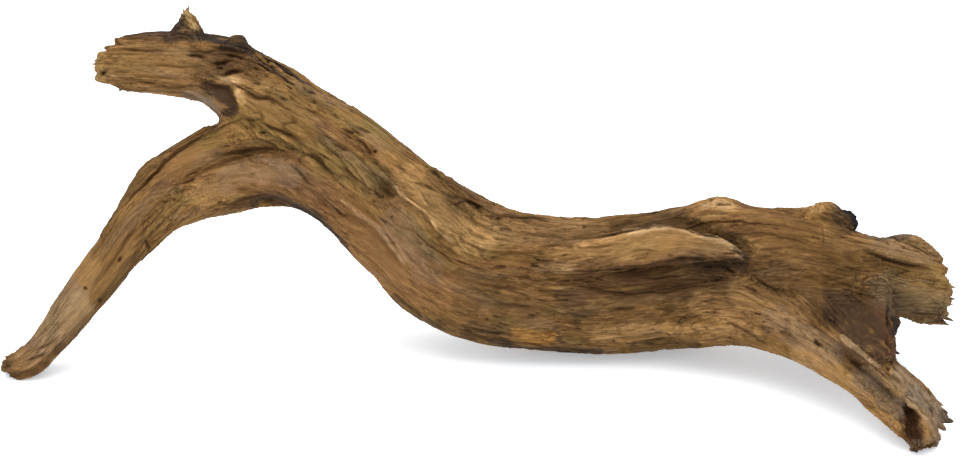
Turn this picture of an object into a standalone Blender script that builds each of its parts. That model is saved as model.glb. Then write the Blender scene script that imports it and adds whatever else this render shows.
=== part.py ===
"""Mangrove root: a branching piece of driftwood that lies on its belly and two feet.

Lengths are in millimetres until a mesh is made. Places are written as they are seen from
the front, 22 degrees above level: x across, h up the view, and y, the real depth behind
the belly. place() turns such a reading into a point of the room.
"""

import math

import bmesh
import bpy
import numpy as np
from mathutils import Vector

# How the readings are seen, and where the origin goes under the root.
LOOK_DOWN = math.radians(22)
SEEN_FROM = 1900.0
SEEN_HEIGHT = 61.5
PLAN_CENTRE = Vector((0.0, -40.0, 0.0))
MM = 0.001

# How fine the surface is, and how the pieces part.
FORM_VOXEL = 2.2
SURFACE_VOXEL = 1.6
MOST_TRIANGLES = 8600
CUT_GAP = 0.3

# Torn ends: how wide and how ragged their fibres are, how far about an end they are torn,
# how straight they run, and how much of the wood past the tear is kept.
FIBRE_WIDTH = 4.5
FIBRE_RAGGED = 0.9
END_REACH = 30
FIBRE_DRIFT = 0.06
STUMP_KEPT = 0.08

# Strands of wood. A station is x, h, y, half its height and half its depth.
STRANDS = {
    "trunk": [
        (-130, 126, 28, 15, 17),
        (-117, 114, 23, 27, 24),
        (-95, 106, 19, 29, 27),
        (-74, 96, 15, 28, 28),
        (-56, 83, 11, 29, 28),
        (-39, 67, 7, 31, 29),
        (-18, 50, 4, 31, 29),
        (9, 39, 1, 31, 30),
        (40, 36, 0, 31, 30),
        (72, 35, 0, 32, 30),
        (102, 39, -1, 33, 29),
        (132, 42, -5, 32, 27),
        (164, 43, -8, 28, 24),
        (196, 41, -11, 22, 19),
        (220, 38, -13, 18, 14),
        (236, 35, -16, 16, 11),
        (255, 33, -18, 14, 9),
    ],
    "left_leg": [
        (-258, -11, -32, 5, 8),
        (-245, -8, -31, 7, 10),
        (-236, -4, -30, 8, 12),
        (-228, 6, -27, 8, 13),
        (-217, 20, -22, 10, 14),
        (-204, 37, -15, 11, 15),
        (-191, 53, -8, 11, 16),
        (-179, 68, -1, 13, 17),
        (-166, 80, 6, 16, 18),
        (-151, 89, 13, 19, 19),
        (-135, 95, 18, 21, 20),
        (-116, 100, 21, 22, 20),
        (-90, 97, 21, 20, 18),
    ],
    "left_arm": [
        (-210, 151, 41, 11, 9),
        (-198, 151.5, 40, 13, 10.5),
        (-188, 152, 39, 14, 11),
        (-170, 152, 40, 15, 16),
        (-151, 150.5, 37.5, 16, 16.5),
        (-137, 147.5, 34, 18, 17),
        (-123, 138, 29, 20, 17),
        (-103, 124, 25, 22, 18),
    ],
    "brow": [
        (-135, 136, 21, 6, 12),
        (-122, 132, 15, 8, 13),
        (-101, 121, 10, 11, 14),
        (-80, 108, 5, 11, 14),
        (-59, 95, -3, 9, 14),
        (-42, 82, -9, 7, 12),
        (-26, 68, -14, 6, 10),
        (-10, 57, -20, 6, 9),
    ],
    "crown": [
        (-128, 150, 30, 9, 12),
        (-112, 142, 26, 10, 13),
        (-90, 128, 24, 11, 13),
        (-65, 113, 21, 11, 13),
        (-45, 97, 17, 11, 12),
        (-28, 82, 12, 9, 11),
        (-12, 71, 9, 8, 10),
    ],
    "shoulder": [
        (-140, 104, 16, 9, 10),
        (-113, 100, 10, 16, 14),
        (-92, 90, 5, 14, 14),
        (-72, 76, -1, 13, 14),
        (-53, 60, -7, 12, 14),
        (-35, 45, -11, 10, 13),
        (-15, 33, -13, 8, 12),
        (10, 27, -15, 5, 9),
    ],
    "top_of_leg": [
        (-198, 59, -8, 4, 8),
        (-186, 78, 0, 4, 10),
        (-174, 94, 7, 5, 11),
        (-158, 104, 14, 5, 12),
        (-148, 109, 16, 6, 12),
        (-138, 113, 18, 6, 13),
        (-120, 118, 20, 6, 13),
    ],
    "under_leg": [
        (-194, 40, -17, 4, 9),
        (-178, 57, -5, 6, 11),
        (-163, 73, 5, 7, 13),
        (-149, 79, 9, 8, 13),
        (-128, 85, 12, 7, 13),
        (-109, 90, 11, 7, 14),
        (-90, 84, 6, 7, 14),
    ],
    "top_rim": [
        (-34, 92, 12, 6, 9),
        (-21, 86, 11, 6, 9),
        (-5, 77.5, 11, 5, 9),
        (18, 70, 12, 4, 8),
        (52, 66, 13, 4, 8),
        (85, 68, 12, 4, 8),
        (112, 73, 9, 4, 8),
        (127, 76, 8, 5, 8),
        (146, 72, 5, 4, 8),
        (168, 70, 3, 5, 8),
        (188, 71, 0, 6, 8),
    ],
    "belly": [
        (-60, 66, 4, 9, 9),
        (-38, 43, 0, 16, 14),
        (-23, 29, -7, 15, 14),
        (-2, 18, -10, 13, 14),
        (26, 14, -11, 13, 14),
        (58, 12, -11, 13, 14),
        (85, 12, -11, 12, 14),
        (111, 14, -13, 11, 13),
        (132, 14, -17, 10, 13),
        (154, 10, -26, 8, 12),
    ],
    "under_belly": [
        (-30, 50, 14, 8, 8),
        (-5, 31, 11, 11, 12),
        (22, 19, 8, 13, 15),
        (50, 14, 9, 13, 16),
        (80, 14, 9, 13, 16),
        (110, 18, 8, 12, 14),
        (140, 26, 4, 9, 11),
        (165, 32, 0, 6, 7),
    ],
    "back_upper": [
        (-125, 135, 38, 6, 6),
        (-90, 114, 40, 11, 9),
        (-50, 91, 34, 12, 10),
        (-10, 62, 26, 12, 10),
        (40, 52, 23, 12, 10),
        (90, 52, 22, 12, 10),
        (140, 55, 16, 11, 9),
        (185, 54, 7, 9, 8),
    ],
    "back_lower": [
        (-150, 100, 22, 6, 8),
        (-115, 101, 34, 8, 9),
        (-70, 88, 36, 10, 9),
        (-30, 60, 29, 11, 10),
        (15, 36, 24, 11, 10),
        (65, 30, 24, 11, 10),
        (115, 35, 20, 11, 10),
        (160, 38, 11, 9, 9),
    ],
    "stub_top": [
        (190, 52, -10, 11, 11),
        (212, 48, -9, 11, 11),
        (226, 49, -10, 13, 10),
        (238, 45, -12, 11, 8),
        (252, 40, -14, 8, 6),
    ],
    "stub_low": [
        (150, 42, -9, 8, 8),
        (180, 38, -16, 14, 13),
        (205, 30, -20, 13, 12),
        (218, 30, -21, 12, 10),
        (229, 28, -22, 11, 9),
        (238, 25, -23, 12, 8),
        (247, 24, -24, 10, 7),
        (256, 24, -25, 8, 6),
    ],
    "web": [
        (176, 36, -12, 14, 8),
        (190, 34, -20, 22, 9),
        (197, 24, -32, 23, 8),
        (203, 13, -46, 18, 8),
        (209, 3, -62, 12, 8),
        (212, -9, -79, 7, 7),
    ],
    "upper_slope": [
        (112, 52, -15, 4, 8),
        (138, 47, -23, 6, 9),
        (159, 39, -26, 6, 9),
        (180, 31, -29, 5, 8),
        (199, 23, -33, 5, 7),
    ],
    "lower_slope": [
        (84, 36, -14, 4, 8),
        (111, 34, -21, 6, 10),
        (135, 30, -27, 6, 9),
        (156, 20, -37, 6, 9),
        (175, 8, -49, 5, 8),
        (193, -6, -64, 4, 7),
    ],
    "valley": [
        (128, 34, -19, 6, 8),
        (150, 30, -26, 7, 8),
        (170, 24, -34, 8, 8),
        (188, 15, -44, 8, 8),
        (200, 5, -58, 7, 7),
    ],
    "leg_core": [
        (84, 28, -8, 8, 9),
        (116, 21, -18, 14, 18),
        (142, 18, -30, 13, 16),
        (166, 9, -47, 10, 13),
        (187, -3, -68, 8, 11),
        (205, -17, -88, 6, 9),
        (221, -30, -106, 6, 8),
        (231, -40, -117, 5, 8),
        (236, -49, -125, 4, 7),
        (237, -56, -130, 3, 5),
    ],
    "front_ridge_of_leg": [
        (76, 18, -9, 6, 8),
        (111, 16, -20, 10, 15),
        (138, 14, -32, 8, 14),
        (162, 6, -51, 7, 12),
        (183, -6, -73, 6, 10),
        (201, -19, -92, 5, 9),
        (216, -33.5, -109, 4, 8),
        (221, -38, -114, 4, 8),
        (228, -44, -120, 4, 8),
        (233, -51, -127, 4, 7),
        (235, -57, -132, 3, 6),
    ],
    "back_ridge_of_leg": [
        (98, 33, -6, 6, 10),
        (127, 29, -16, 9, 16),
        (156, 19, -34, 8, 14),
        (183, 4, -57, 6, 11),
        (202, -8, -76, 5, 9),
        (214, -18, -90, 4, 8),
        (226, -29, -104, 4, 8),
        (235, -39, -115, 4, 7),
        (240, -47, -122, 3, 6),
        (239, -54, -129, 3, 5),
    ],
    "rotten_flap": [
        (204, -3, -66, 4, 7),
        (216, -10, -77, 5, 6),
        (226, -17, -86, 5, 6),
        (235, -25.5, -96, 5, 5),
        (241, -31.5, -102, 4, 4),
        (247, -37.5, -108, 3, 3),
    ],
    "lower_flap": [
        (220, -23, -92, 3, 5),
        (231, -33, -104, 4, 4),
        (238, -41, -113, 4, 4),
        (239, -48, -119, 3, 3),
    ],
    "edge_lumps": [
        (212, 20, -37, 5, 5),
        (217, 16, -41, 5, 5),
        (218, 11, -46, 4, 4),
        (214, 5, -53, 4, 4),
        (215, 0, -60, 4, 4),
    ],
    "small_knob": [
        (-129, 157, 31, 8, 8),
        (-128.5, 163, 31, 6, 6),
        (-128.5, 166, 31, 4, 4),
    ],
    "charred_knob": [
        (174, 66, -2, 8, 9),
        (183, 69, -3, 9, 9),
        (193, 66, -4, 6, 7),
    ],
    "mossy_lump": [
        (-42, 94, 9, 4, 7),
        (-31, 91, 8, 4, 8),
        (-25, 92, 8, 4, 7),
        (-19, 86, 8, 4, 7),
        (-10, 78, 9, 3, 6),
    ],
}

# The finer forms: the raised tongue of wood on the front, with its free tip, the spur and the
# charred lump. A last value is how far a strand's top leans back, in degrees.
FINE_STRANDS = {
    "tongue": [
        (-40, 72, -14, 3, 6, 0),
        (-24, 61, -18, 4, 8, 0),
        (0, 52, -20, 7, 9, 10),
        (26, 48, -22, 9, 9, 20),
        (42, 48, -23, 10, 9, 28),
        (64, 51, -23, 11, 9, 35),
        (85, 54, -24, 11, 9, 38),
        (101, 55, -27, 10, 7, 40),
        (117, 54, -31, 7, 4, 35),
        (130, 52, -33, 5, 2.5, 30),
        (140, 49, -35, 2, 1.5, 30),
    ],
    "tongue_upper_tip": [
        (108, 58, -29, 4, 3, 30),
        (122, 57, -32, 3, 2, 30),
        (134, 54, -34, 1, 2, 30),
    ],
    "spur": [
        (-156, 156, 37, 15, 12),
        (-155.5, 165, 37, 11, 10),
        (-155, 170, 37, 7.5, 7.5),
        (-155, 174, 37, 4.6, 5),
        (-155.5, 177, 37, 3, 3.4),
        (-155.5, 181, 37, 2, 2.2),
    ],
    "charred_lump": [
        (190, 69, -3, 4, 6),
        (194, 69.5, -4, 4.3, 5.5),
        (197, 67.5, -5, 3.5, 5),
        (198.5, 65, -6, 2.5, 4),
    ],
}

# Long hollows and grooves of the front: half width, depth, and the x and h of their line.
# A negative depth is a ridge.
HOLLOWS = [
    (6, 4, [(-140, 139), (-133, 135), (-130, 128), (-132, 122)]),
    (6, 4, [(-4, 70), (32, 63), (52, 62)]),
    (5, 5, [(38, 62), (60, 64), (78, 67), (94, 69), (108, 67), (122, 62), (136, 58), (146, 54)]),
    (7, 7, [(98, 58), (112, 58), (128, 54), (146, 52)]),
    (11, 7, [(44, 36), (74, 38), (106, 41), (135, 43), (152, 46)]),
    (12, 4, [(196, 26), (205, 14), (211, 2)]),
    (6, 3, [(-87, 100), (-105, 108), (-128, 104), (-150, 95), (-169, 86), (-183, 77)]),
    (8, 4, [(-54, 91), (-47, 81)]),
    (7, 3, [(-76, 74), (-60, 55), (-48, 40)]),
    (5, 5, [(190, -3), (204, -15), (217, -27), (226, -36)]),
    (5.5, 8, [(224, -29), (229, -37), (229, -44), (231, -52)]),
    (3, 4, [(190, 6), (200, -2), (209, -11), (216, -16), (225, -24), (233, -31.5), (238, -38)]),
]
GROOVES = [
    (2.5, 2.5, [(-125, 124), (-140, 118), (-155, 110), (-167, 100), (-178, 88), (-192, 73)]),
    (3, 4, [(36, 59), (58, 61), (76, 65), (94, 68), (106, 66), (118, 62), (130, 58), (139, 53)]),
    (4, 4, [(72, 44), (88, 45), (106, 48), (120, 47), (134, 45), (144, 44)]),
    (4, 3, [(-19, 84), (-9, 80), (1, 74)]),
    (2.5, 2.5, [(182, 65), (196, 56), (222, 46), (243, 41)]),
    (3, 2.5, [(-135, 142), (-116, 134), (-101, 128), (-80, 114)]),
    (4, 3, [(135, 36), (151, 26), (170, 18), (186, 8)]),
    (4, 3, [(117, 31), (138, 23), (159, 11), (178, 0)]),
    (4, 2, [(-95, 111), (-72, 95), (-50, 77), (-34, 59), (-21, 47), (0, 34), (32, 28)]),
    (3, 2, [(-84, 127), (-64, 111), (-42, 94), (-21, 77), (0, 64)]),
    (4, 2, [(-32, 34), (-11, 25), (21, 21), (64, 20), (106, 23)]),
    (3, 1.5, [(-196, 155), (-175, 156), (-154, 154), (-135, 147)]),
    (3, 1.5, [(-196, 146), (-175, 145), (-154, 143)]),
    (3, 2.5, [(-148, 162), (-125, 153), (-95, 137)]),
    (4, 3, [(-135, 74), (-120, 80), (-109, 81), (-94, 75), (-83, 68)]),
    (4, 2.5, [(119, 70), (135, 66), (156, 65), (178, 64)]),
    (3, 1.5, [(-204, 47), (-215, 31), (-225, 15)]),
    (3, 2, [(148, 58), (170, 52), (191, 47), (212, 37)]),
]

# Splinters at the torn ends: x, h and y of the root and of the tip, and the root's radius.
SPLINTERS = [
    (-186, 162, 38, -195, 162, 40, 3.0),
    (-192, 157, 38, -204, 156, 41, 3.0),
    (-194, 151, 38, -206, 151, 40, 3.2),
    (-244, -4, -28, -254, -5, -30, 3.0),
    (-246, -8, -27, -253, -11, -28, 3.0),
    (238, 44, -15, 249, 42, -16, 3.0),
    (240, 37, -17, 252, 34, -18, 3.2),
    (240, 30, -18, 253, 29, -20, 3.2),
    (240, 20, -25, 252, 16, -27, 3.0),
    (213, 22, -33, 223, 18, -34, 3.0),
    (212, 12, -46, 221, 9, -46, 2.8),
    (212, 2, -64, 220, -2, -62, 2.6),
    (241, -34, -105, 252, -38, -110, 2.8),
    (240, -38, -107, 250, -44, -113, 2.6),
]

# Torn ends: a point inside, a point outside, and how far out the wood reaches at each height.
ENDS = [
    ((-190, 150, 39), (-210, 150, 40), [
        (-12.7, -3), (-10.6, -1), (-9, 2), (-7.4, 9), (-6.4, 12), (-4.2, 12.5), (0.5, 12), (5.3, 11.5),
        (7.4, 11), (8.2, 6.5), (10.4, 7.5), (11, 0.5), (13.3, 0.8), (14.3, 1.3), (15.9, 0), (17.5, -1)]),
    ((-240, -6, -30), (-256, -8, -32), [(-6, 8), (-3, 12), (2, 10.5), (6, 5)]),
    ((235, 35, -18), (255, 33, -19), [
        (-22, 3), (-20.7, 10), (-19, 14.5), (-17.5, 11.5), (-15.4, 13.5), (-12.7, 13), (-8.5, 14),
        (-3, 14.3), (0.5, 13.8), (4.2, 10.5), (6.3, 8.5), (9.5, 10.5), (11.6, 7), (14.3, 7.5),
        (18, 5.5), (21.7, 2.4), (25.4, -3), (28, -10)]),
    ((224, -38, -112), (236, -53, -127), [(-9, 16), (-4, 19), (2, 21.5), (7, 22), (12, 21)]),
]

# The left and the right fork: where they part, and the outline's ends of both cuts.
FORKS = {
    "left": {"crotch": (-136, 122), "upper": (-119, 162), "lower": (-130, 60)},
    "right": {"crotch": (227, 4), "upper": (203, 70), "lower": (202, -34)},
}

WOOD = {
    "trunk": (0.212, 0.122, 0.064),
    "left_arm": (0.223, 0.114, 0.047),
    "left_leg": (0.266, 0.138, 0.061),
    "right_stub": (0.174, 0.100, 0.051),
    "right_leg": (0.202, 0.114, 0.056),
}


def clear_scene():
    for thing in list(bpy.data.objects):
        bpy.data.objects.remove(thing)


def viewer():
    """Where the readings are seen from, and the view's up and forward directions."""
    up = np.array([0, math.sin(LOOK_DOWN), math.cos(LOOK_DOWN)])
    forward = np.array([0, math.cos(LOOK_DOWN), -math.sin(LOOK_DOWN)])
    return up * SEEN_HEIGHT - forward * SEEN_FROM, up, forward


def place(readings):
    """Rows of x, h and y as points of the room."""
    readings = np.asarray(readings, float)
    eye, up, forward = viewer()
    ray = up * (readings[:, 1:2] - SEEN_HEIGHT) + forward * SEEN_FROM
    ray[:, 0] += readings[:, 0]
    reach = (readings[:, 2] - eye[1]) / ray[:, 1]
    return eye + ray * reach[:, None]


def seen(points):
    """The x and h that points of the room are seen at."""
    eye, up, forward = viewer()
    offset = points - eye
    scale = SEEN_FROM / (offset @ forward)
    return np.stack([offset[:, 0] * scale, SEEN_HEIGHT + (offset @ up) * scale], axis=1)


def value_noise(points, seed=0):
    """Smooth noise from -1 to 1, the same for the same seed."""
    cell = np.floor(points).astype(np.int64)
    part = points - cell
    part = part**3 * (part * (part * 6 - 15) + 10)
    total = np.zeros(len(points))
    for corner in np.ndindex(2, 2, 2):
        key = (cell + corner) @ np.array([73856093, 19349663, 83492791]) + seed * 26544357
        key = (key ^ (key >> 13)) * 1274126177 & 0xFFFFFFFF
        key = (key ^ (key >> 16)) * 73244475 & 0xFFFFFFFF
        weight = np.prod(np.where(corner, part, 1 - part), axis=1)
        total += weight * ((key ^ (key >> 15)) / 2**31 - 1)
    return total


def unit(vectors):
    return vectors / np.linalg.norm(vectors, axis=-1, keepdims=True)


def smooth_rows(rows, step):
    """Rows of a Catmull-Rom curve through the given rows, about every step along it."""
    ends = np.vstack([2 * rows[0] - rows[1], rows, 2 * rows[-1] - rows[-2]])
    found = []
    for a, b, c, d in zip(ends, ends[1:], ends[2:], ends[3:]):
        count = max(2, math.ceil(np.linalg.norm((c - b)[:3]) / step))
        t = np.linspace(0, 1, count, endpoint=False)[:, None]
        bend = 2 * a - 5 * b + 4 * c - d
        found.append(0.5 * (2 * b + (c - a) * t + bend * t**2 + (3 * b - a - 3 * c + d) * t**3))
    return np.vstack([*found, rows[-1:]])


def add_strand(bm, stations, seed, sides=32, step=2.5, flutes=0.05):
    """Lofts a closed strand of squarish section, fluted along the grain."""
    stations = np.array([(*station, 0)[:6] for station in stations], float)
    rows = smooth_rows(np.hstack([place(stations[:, :3]), stations[:, 3:]]), step)
    centres, tall, deep = rows[:, :3], rows[:, 3], rows[:, 4]
    lean = np.radians(rows[:, 5:6])
    along = unit(np.gradient(centres, axis=0))
    level = unit(np.array([0.0, 1.0, 0.0]) - along * along[:, 1:2])
    upright = np.cross(along, level)
    depth = level * np.cos(lean) - upright * np.sin(lean)
    across = upright * np.cos(lean) + level * np.sin(lean)
    travelled = np.r_[0, np.cumsum(np.linalg.norm(np.diff(centres, axis=0), axis=1))]
    angle = np.arange(sides) * math.tau / sides
    cos, sin = np.cos(angle), np.sin(angle)
    squareness = (np.abs(cos) ** 2.5 + np.abs(sin) ** 2.5) ** -0.4
    rings = []
    for k, centre in enumerate(centres):
        grain = np.stack([cos, sin, np.full(sides, travelled[k] / 110)], axis=1)
        swell = squareness * (1 + flutes * value_noise(grain * 2.6, seed)
                              + 0.7 * flutes * value_noise(grain * 5.5, seed + 1))
        ring = (centre + np.outer(cos * swell * tall[k], across[k])
                + np.outer(sin * swell * deep[k], depth[k]))
        rings.append([bm.verts.new(point) for point in ring])
    for first, second in zip(rings, rings[1:]):
        for k in range(sides):
            bm.faces.new((first[k], first[k - 1], second[k - 1], second[k]))
    for ring, centre, way in ((rings[0], centres[0], -along[0]), (rings[-1], centres[-1], along[-1])):
        tip = bm.verts.new(centre + way * 0.3 * min(tall[0], tall[-1]))
        for k in range(sides):
            bm.faces.new((ring[k - 1], ring[k], tip))


def add_splinter(bm, row, seed):
    """A thin pointed strand from its root to its tip."""
    root, tip, radius = np.array(row[:3]), np.array(row[3:6]), row[6]
    stations = [
        (*root, radius, radius),
        (*(0.55 * root + 0.45 * tip), 0.7 * radius, 0.6 * radius),
        (*tip, 0.25 * radius, 0.25 * radius),
    ]
    add_strand(bm, stations, seed, sides=8, step=2.0)


def coordinates(mesh, kind="vertices", field="co"):
    rows = getattr(mesh, kind)
    found = np.empty(len(rows) * 3)
    rows.foreach_get(field, found)
    return found.reshape(-1, 3)


def groove_shape(points, line, half_width):
    """From 0 to 1, how deep in a groove each point lies. Its ends fade out."""
    line = smooth_rows(np.array([(*point, 0) for point in line], float), 4.0)[:, :2]
    travelled = np.r_[0, np.cumsum(np.linalg.norm(np.diff(line, axis=0), axis=1))]
    nearest, reached = np.full(len(points), np.inf), np.zeros(len(points))
    for a, b, start in zip(line, line[1:], travelled):
        run = b - a
        t = np.clip(((points - a) @ run) / (run @ run), 0, 1)
        gap = np.linalg.norm(points - a - t[:, None] * run, axis=1)
        closer = gap < nearest
        nearest[closer] = gap[closer]
        reached[closer] = (start + t * np.linalg.norm(run))[closer]
    fade = np.minimum(reached, travelled[-1] - reached) / (0.3 * travelled[-1])
    fade = 0.25 + 0.75 * np.clip(fade, 0, 1)
    return np.clip(1 - (nearest / (half_width * fade)) ** 2, 0, 1) ** 1.5 * fade


def carve(thing, lines):
    """Sinks hollows and grooves into the side that faces the viewer."""
    mesh = thing.data
    forward = viewer()[2]
    for half_width, depth, line in lines:
        points = coordinates(mesh)
        normals = coordinates(mesh, "vertex_normals", "vector")
        facing = np.clip(-(normals @ forward) * 3, 0, 1)
        sink = groove_shape(seen(points), line, half_width) * facing * depth
        points -= normals * sink[:, None]
        mesh.vertices.foreach_set("co", points.ravel())
        mesh.update()


def tear(root):
    """Breaks the ends off, fibre by fibre."""
    points = coordinates(root.data)
    for seed, (inside, outside, reach) in enumerate(ENDS):
        ends = place([inside, outside])
        way = unit(ends[1] - ends[0])
        first, second = seen(ends)
        seen_way = (second - first) / np.linalg.norm(ends[1] - ends[0])
        shrink = np.linalg.norm(seen_way)
        seen_way /= shrink
        offset = seen(points) - first
        out = offset @ seen_way
        high = offset @ np.array([-seen_way[1], seen_way[0]]) * np.sign(seen_way[0])
        across = np.stack([high, points[:, 1], out * FIBRE_DRIFT], axis=1)
        ragged = FIBRE_RAGGED * value_noise(across / FIBRE_WIDTH, 61 + seed)
        limit = np.interp(high, *np.array(reach).T) + ragged
        near = (np.abs(high) < END_REACH) & (np.abs(points[:, 1] - ends[0][1]) < END_REACH)
        torn = (out > limit) & near
        points[torn] += way * ((1 - STUMP_KEPT) / shrink * (limit - out))[torn, None]
    root.data.vertices.foreach_set("co", points.ravel())
    root.data.update()


def mesh_object(bm, name):
    mesh = bpy.data.meshes.new(name)
    bmesh.ops.recalc_face_normals(bm, faces=bm.faces)
    bm.to_mesh(mesh)
    bm.free()
    thing = bpy.data.objects.new(name, mesh)
    bpy.context.scene.collection.objects.link(thing)
    return thing


def apply_modifier(thing, kind, **settings):
    """Runs one modifier and keeps the mesh that it makes."""
    modifier = thing.modifiers.new(kind.lower(), kind)
    for setting, value in settings.items():
        setattr(modifier, setting, value)
    graph = bpy.context.evaluated_depsgraph_get()
    mesh = bpy.data.meshes.new_from_object(thing.evaluated_get(graph))
    thing.modifiers.clear()
    thing.data = mesh


def one_skin(thing, voxel, softening):
    apply_modifier(thing, "REMESH", mode="VOXEL", voxel_size=voxel, adaptivity=0)
    apply_modifier(thing, "SMOOTH", factor=0.5, iterations=softening)


def build_root():
    """The whole root as one closed mesh, in millimetres."""
    bm = bmesh.new()
    for seed, stations in enumerate(STRANDS.values()):
        add_strand(bm, stations, 10 * seed)
    root = mesh_object(bm, "root")
    one_skin(root, FORM_VOXEL, 3)
    carve(root, HOLLOWS)
    tear(root)
    bm = bmesh.new()
    bm.from_mesh(root.data)
    bpy.data.objects.remove(root)
    for seed, stations in enumerate(FINE_STRANDS.values()):
        add_strand(bm, stations, 900 + seed, step=2.0)
    for seed, row in enumerate(SPLINTERS):
        add_splinter(bm, row, 1000 + seed)
    root = mesh_object(bm, "root")
    one_skin(root, SURFACE_VOXEL, 1)
    carve(root, GROOVES)
    root.data.calc_loop_triangles()
    share = MOST_TRIANGLES / len(root.data.loop_triangles)
    apply_modifier(root, "DECIMATE", ratio=share, use_collapse_triangulate=True)
    return root


def cut_flat(bm, point, keep):
    """Keeps the side of a plane that keep points to, and closes the cut."""
    everything = bm.verts[:] + bm.edges[:] + bm.faces[:]
    cut = bmesh.ops.bisect_plane(
        bm, geom=everything, dist=1e-4, plane_co=point, plane_no=keep, clear_inner=True
    )
    rim = [part for part in cut["geom_cut"] if isinstance(part, bmesh.types.BMEdge)]
    if rim:
        bmesh.ops.triangle_fill(bm, edges=rim, use_beauty=True, normal=-Vector(keep))


def sight_plane(first, second):
    """A plane that is seen edge-on as the line through two readings of x and h."""
    eye = viewer()[0]
    a, b = place([(*first, 0), (*second, 0)])
    return Vector(a), Vector(unit(np.cross(a - eye, b - eye)))


def fork_planes(name, side):
    """The planes of a fork, each with the normal that points to the upper branch or outward."""
    fork = FORKS[name]
    crotch = fork["crotch"]
    away = (crotch[0] + 100 * side, crotch[1])
    found = {}
    for key, other in (("upper", fork["upper"]), ("lower", fork["lower"]), ("between", away)):
        point, normal = sight_plane(crotch, other)
        outward = Vector((side, 0, 0)) if key != "between" else Vector((0, 0, 1))
        found[key] = (point, normal if normal.dot(outward) > 0 else -normal)
    return found


def drop_crumbs(bm):
    """Keeps the largest body and drops the crumbs that the cuts left."""
    left = set(bm.verts)
    bodies = []
    while left:
        body, edge_of_body = set(), [left.pop()]
        while edge_of_body:
            vert = edge_of_body.pop()
            body.add(vert)
            near = {edge.other_vert(vert) for edge in vert.link_edges} & left
            left -= near
            edge_of_body.extend(near)
        bodies.append(body)
    bodies.sort(key=len)
    for body in bodies[:-1]:
        bmesh.ops.delete(bm, geom=list(body), context="VERTS")


def piece_of(root, name, planes):
    """The part of the root on the kept side of every plane, half a gap away from it."""
    bm = bmesh.new()
    bm.from_mesh(root.data)
    for point, keep in planes:
        cut_flat(bm, point + keep * CUT_GAP / 2, keep)
    drop_crumbs(bm)
    bmesh.ops.recalc_face_normals(bm, faces=bm.faces)
    bmesh.ops.translate(bm, verts=bm.verts, vec=-PLAN_CENTRE)
    bmesh.ops.scale(bm, verts=bm.verts, vec=(MM, MM, MM))
    piece = mesh_object(bm, name)
    piece.data.shade_smooth()
    material = bpy.data.materials.new(name)
    material.use_nodes = True
    shader = material.node_tree.nodes["Principled BSDF"]
    shader.inputs["Base Color"].default_value = (*WOOD[name], 1)
    shader.inputs["Roughness"].default_value = 0.78
    shader.inputs["Metallic"].default_value = 0
    piece.data.materials.append(material)
    return piece


def flat_under(root):
    """Cuts the belly and both feet off level, where they rest."""
    bm = bmesh.new()
    bm.from_mesh(root.data)
    cut_flat(bm, Vector((0, 0, 0)), Vector((0, 0, 1)))
    bm.to_mesh(root.data)
    bm.free()


def main():
    clear_scene()
    root = build_root()
    flat_under(root)
    left, right = fork_planes("left", -1), fork_planes("right", 1)

    def inward(plane):
        return plane[0], -plane[1]

    piece_of(root, "trunk", [inward(fork[key]) for fork in (left, right) for key in ("upper", "lower")])
    piece_of(root, "left_arm", [left["upper"], left["between"]])
    piece_of(root, "left_leg", [left["lower"], inward(left["between"])])
    piece_of(root, "right_stub", [right["upper"], right["between"]])
    piece_of(root, "right_leg", [right["lower"], inward(right["between"])])
    bpy.data.objects.remove(root)


main()
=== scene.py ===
"""Mangrove root, dressed: weathered driftwood with open grain, cracks, torn ends and char.

Forms are read as they are seen from the front, 22 degrees above level, in millimetres:
x across, h up the view and y the real depth behind the belly. place() turns such a reading
into a point. The finished pieces are moved to the frame, in metres.
"""

import math

import bmesh
import bpy
import numpy as np
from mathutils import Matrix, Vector


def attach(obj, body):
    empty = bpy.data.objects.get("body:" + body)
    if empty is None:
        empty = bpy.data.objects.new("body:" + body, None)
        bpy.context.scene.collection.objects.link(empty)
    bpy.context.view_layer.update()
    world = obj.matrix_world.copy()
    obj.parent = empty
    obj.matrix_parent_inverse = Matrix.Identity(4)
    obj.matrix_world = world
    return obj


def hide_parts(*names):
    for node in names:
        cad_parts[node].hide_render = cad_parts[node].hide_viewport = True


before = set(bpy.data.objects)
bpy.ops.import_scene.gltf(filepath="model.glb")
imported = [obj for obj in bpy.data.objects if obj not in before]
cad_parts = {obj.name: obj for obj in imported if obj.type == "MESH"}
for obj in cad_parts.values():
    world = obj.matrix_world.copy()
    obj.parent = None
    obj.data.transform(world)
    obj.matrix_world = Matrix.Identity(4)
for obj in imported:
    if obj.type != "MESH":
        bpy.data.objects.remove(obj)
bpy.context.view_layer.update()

# How the readings are seen, and where the origin goes under the root.
LOOK_DOWN = math.radians(22)
SEEN_FROM = 1900.0
SEEN_HEIGHT = 61.5
SEEN_WIDTH = 508.8
PLAN_CENTRE = np.array([0.0, -40.0, 0.0])
MM = 0.001

# How fine the forms and the finished surface are.
FORM_VOXEL = 2.0
SURFACE_VOXEL = 0.6
SOFTENING = 3
# The grain is laid out as if the wood were this thick everywhere.
SPREAD = 30.0

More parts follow.
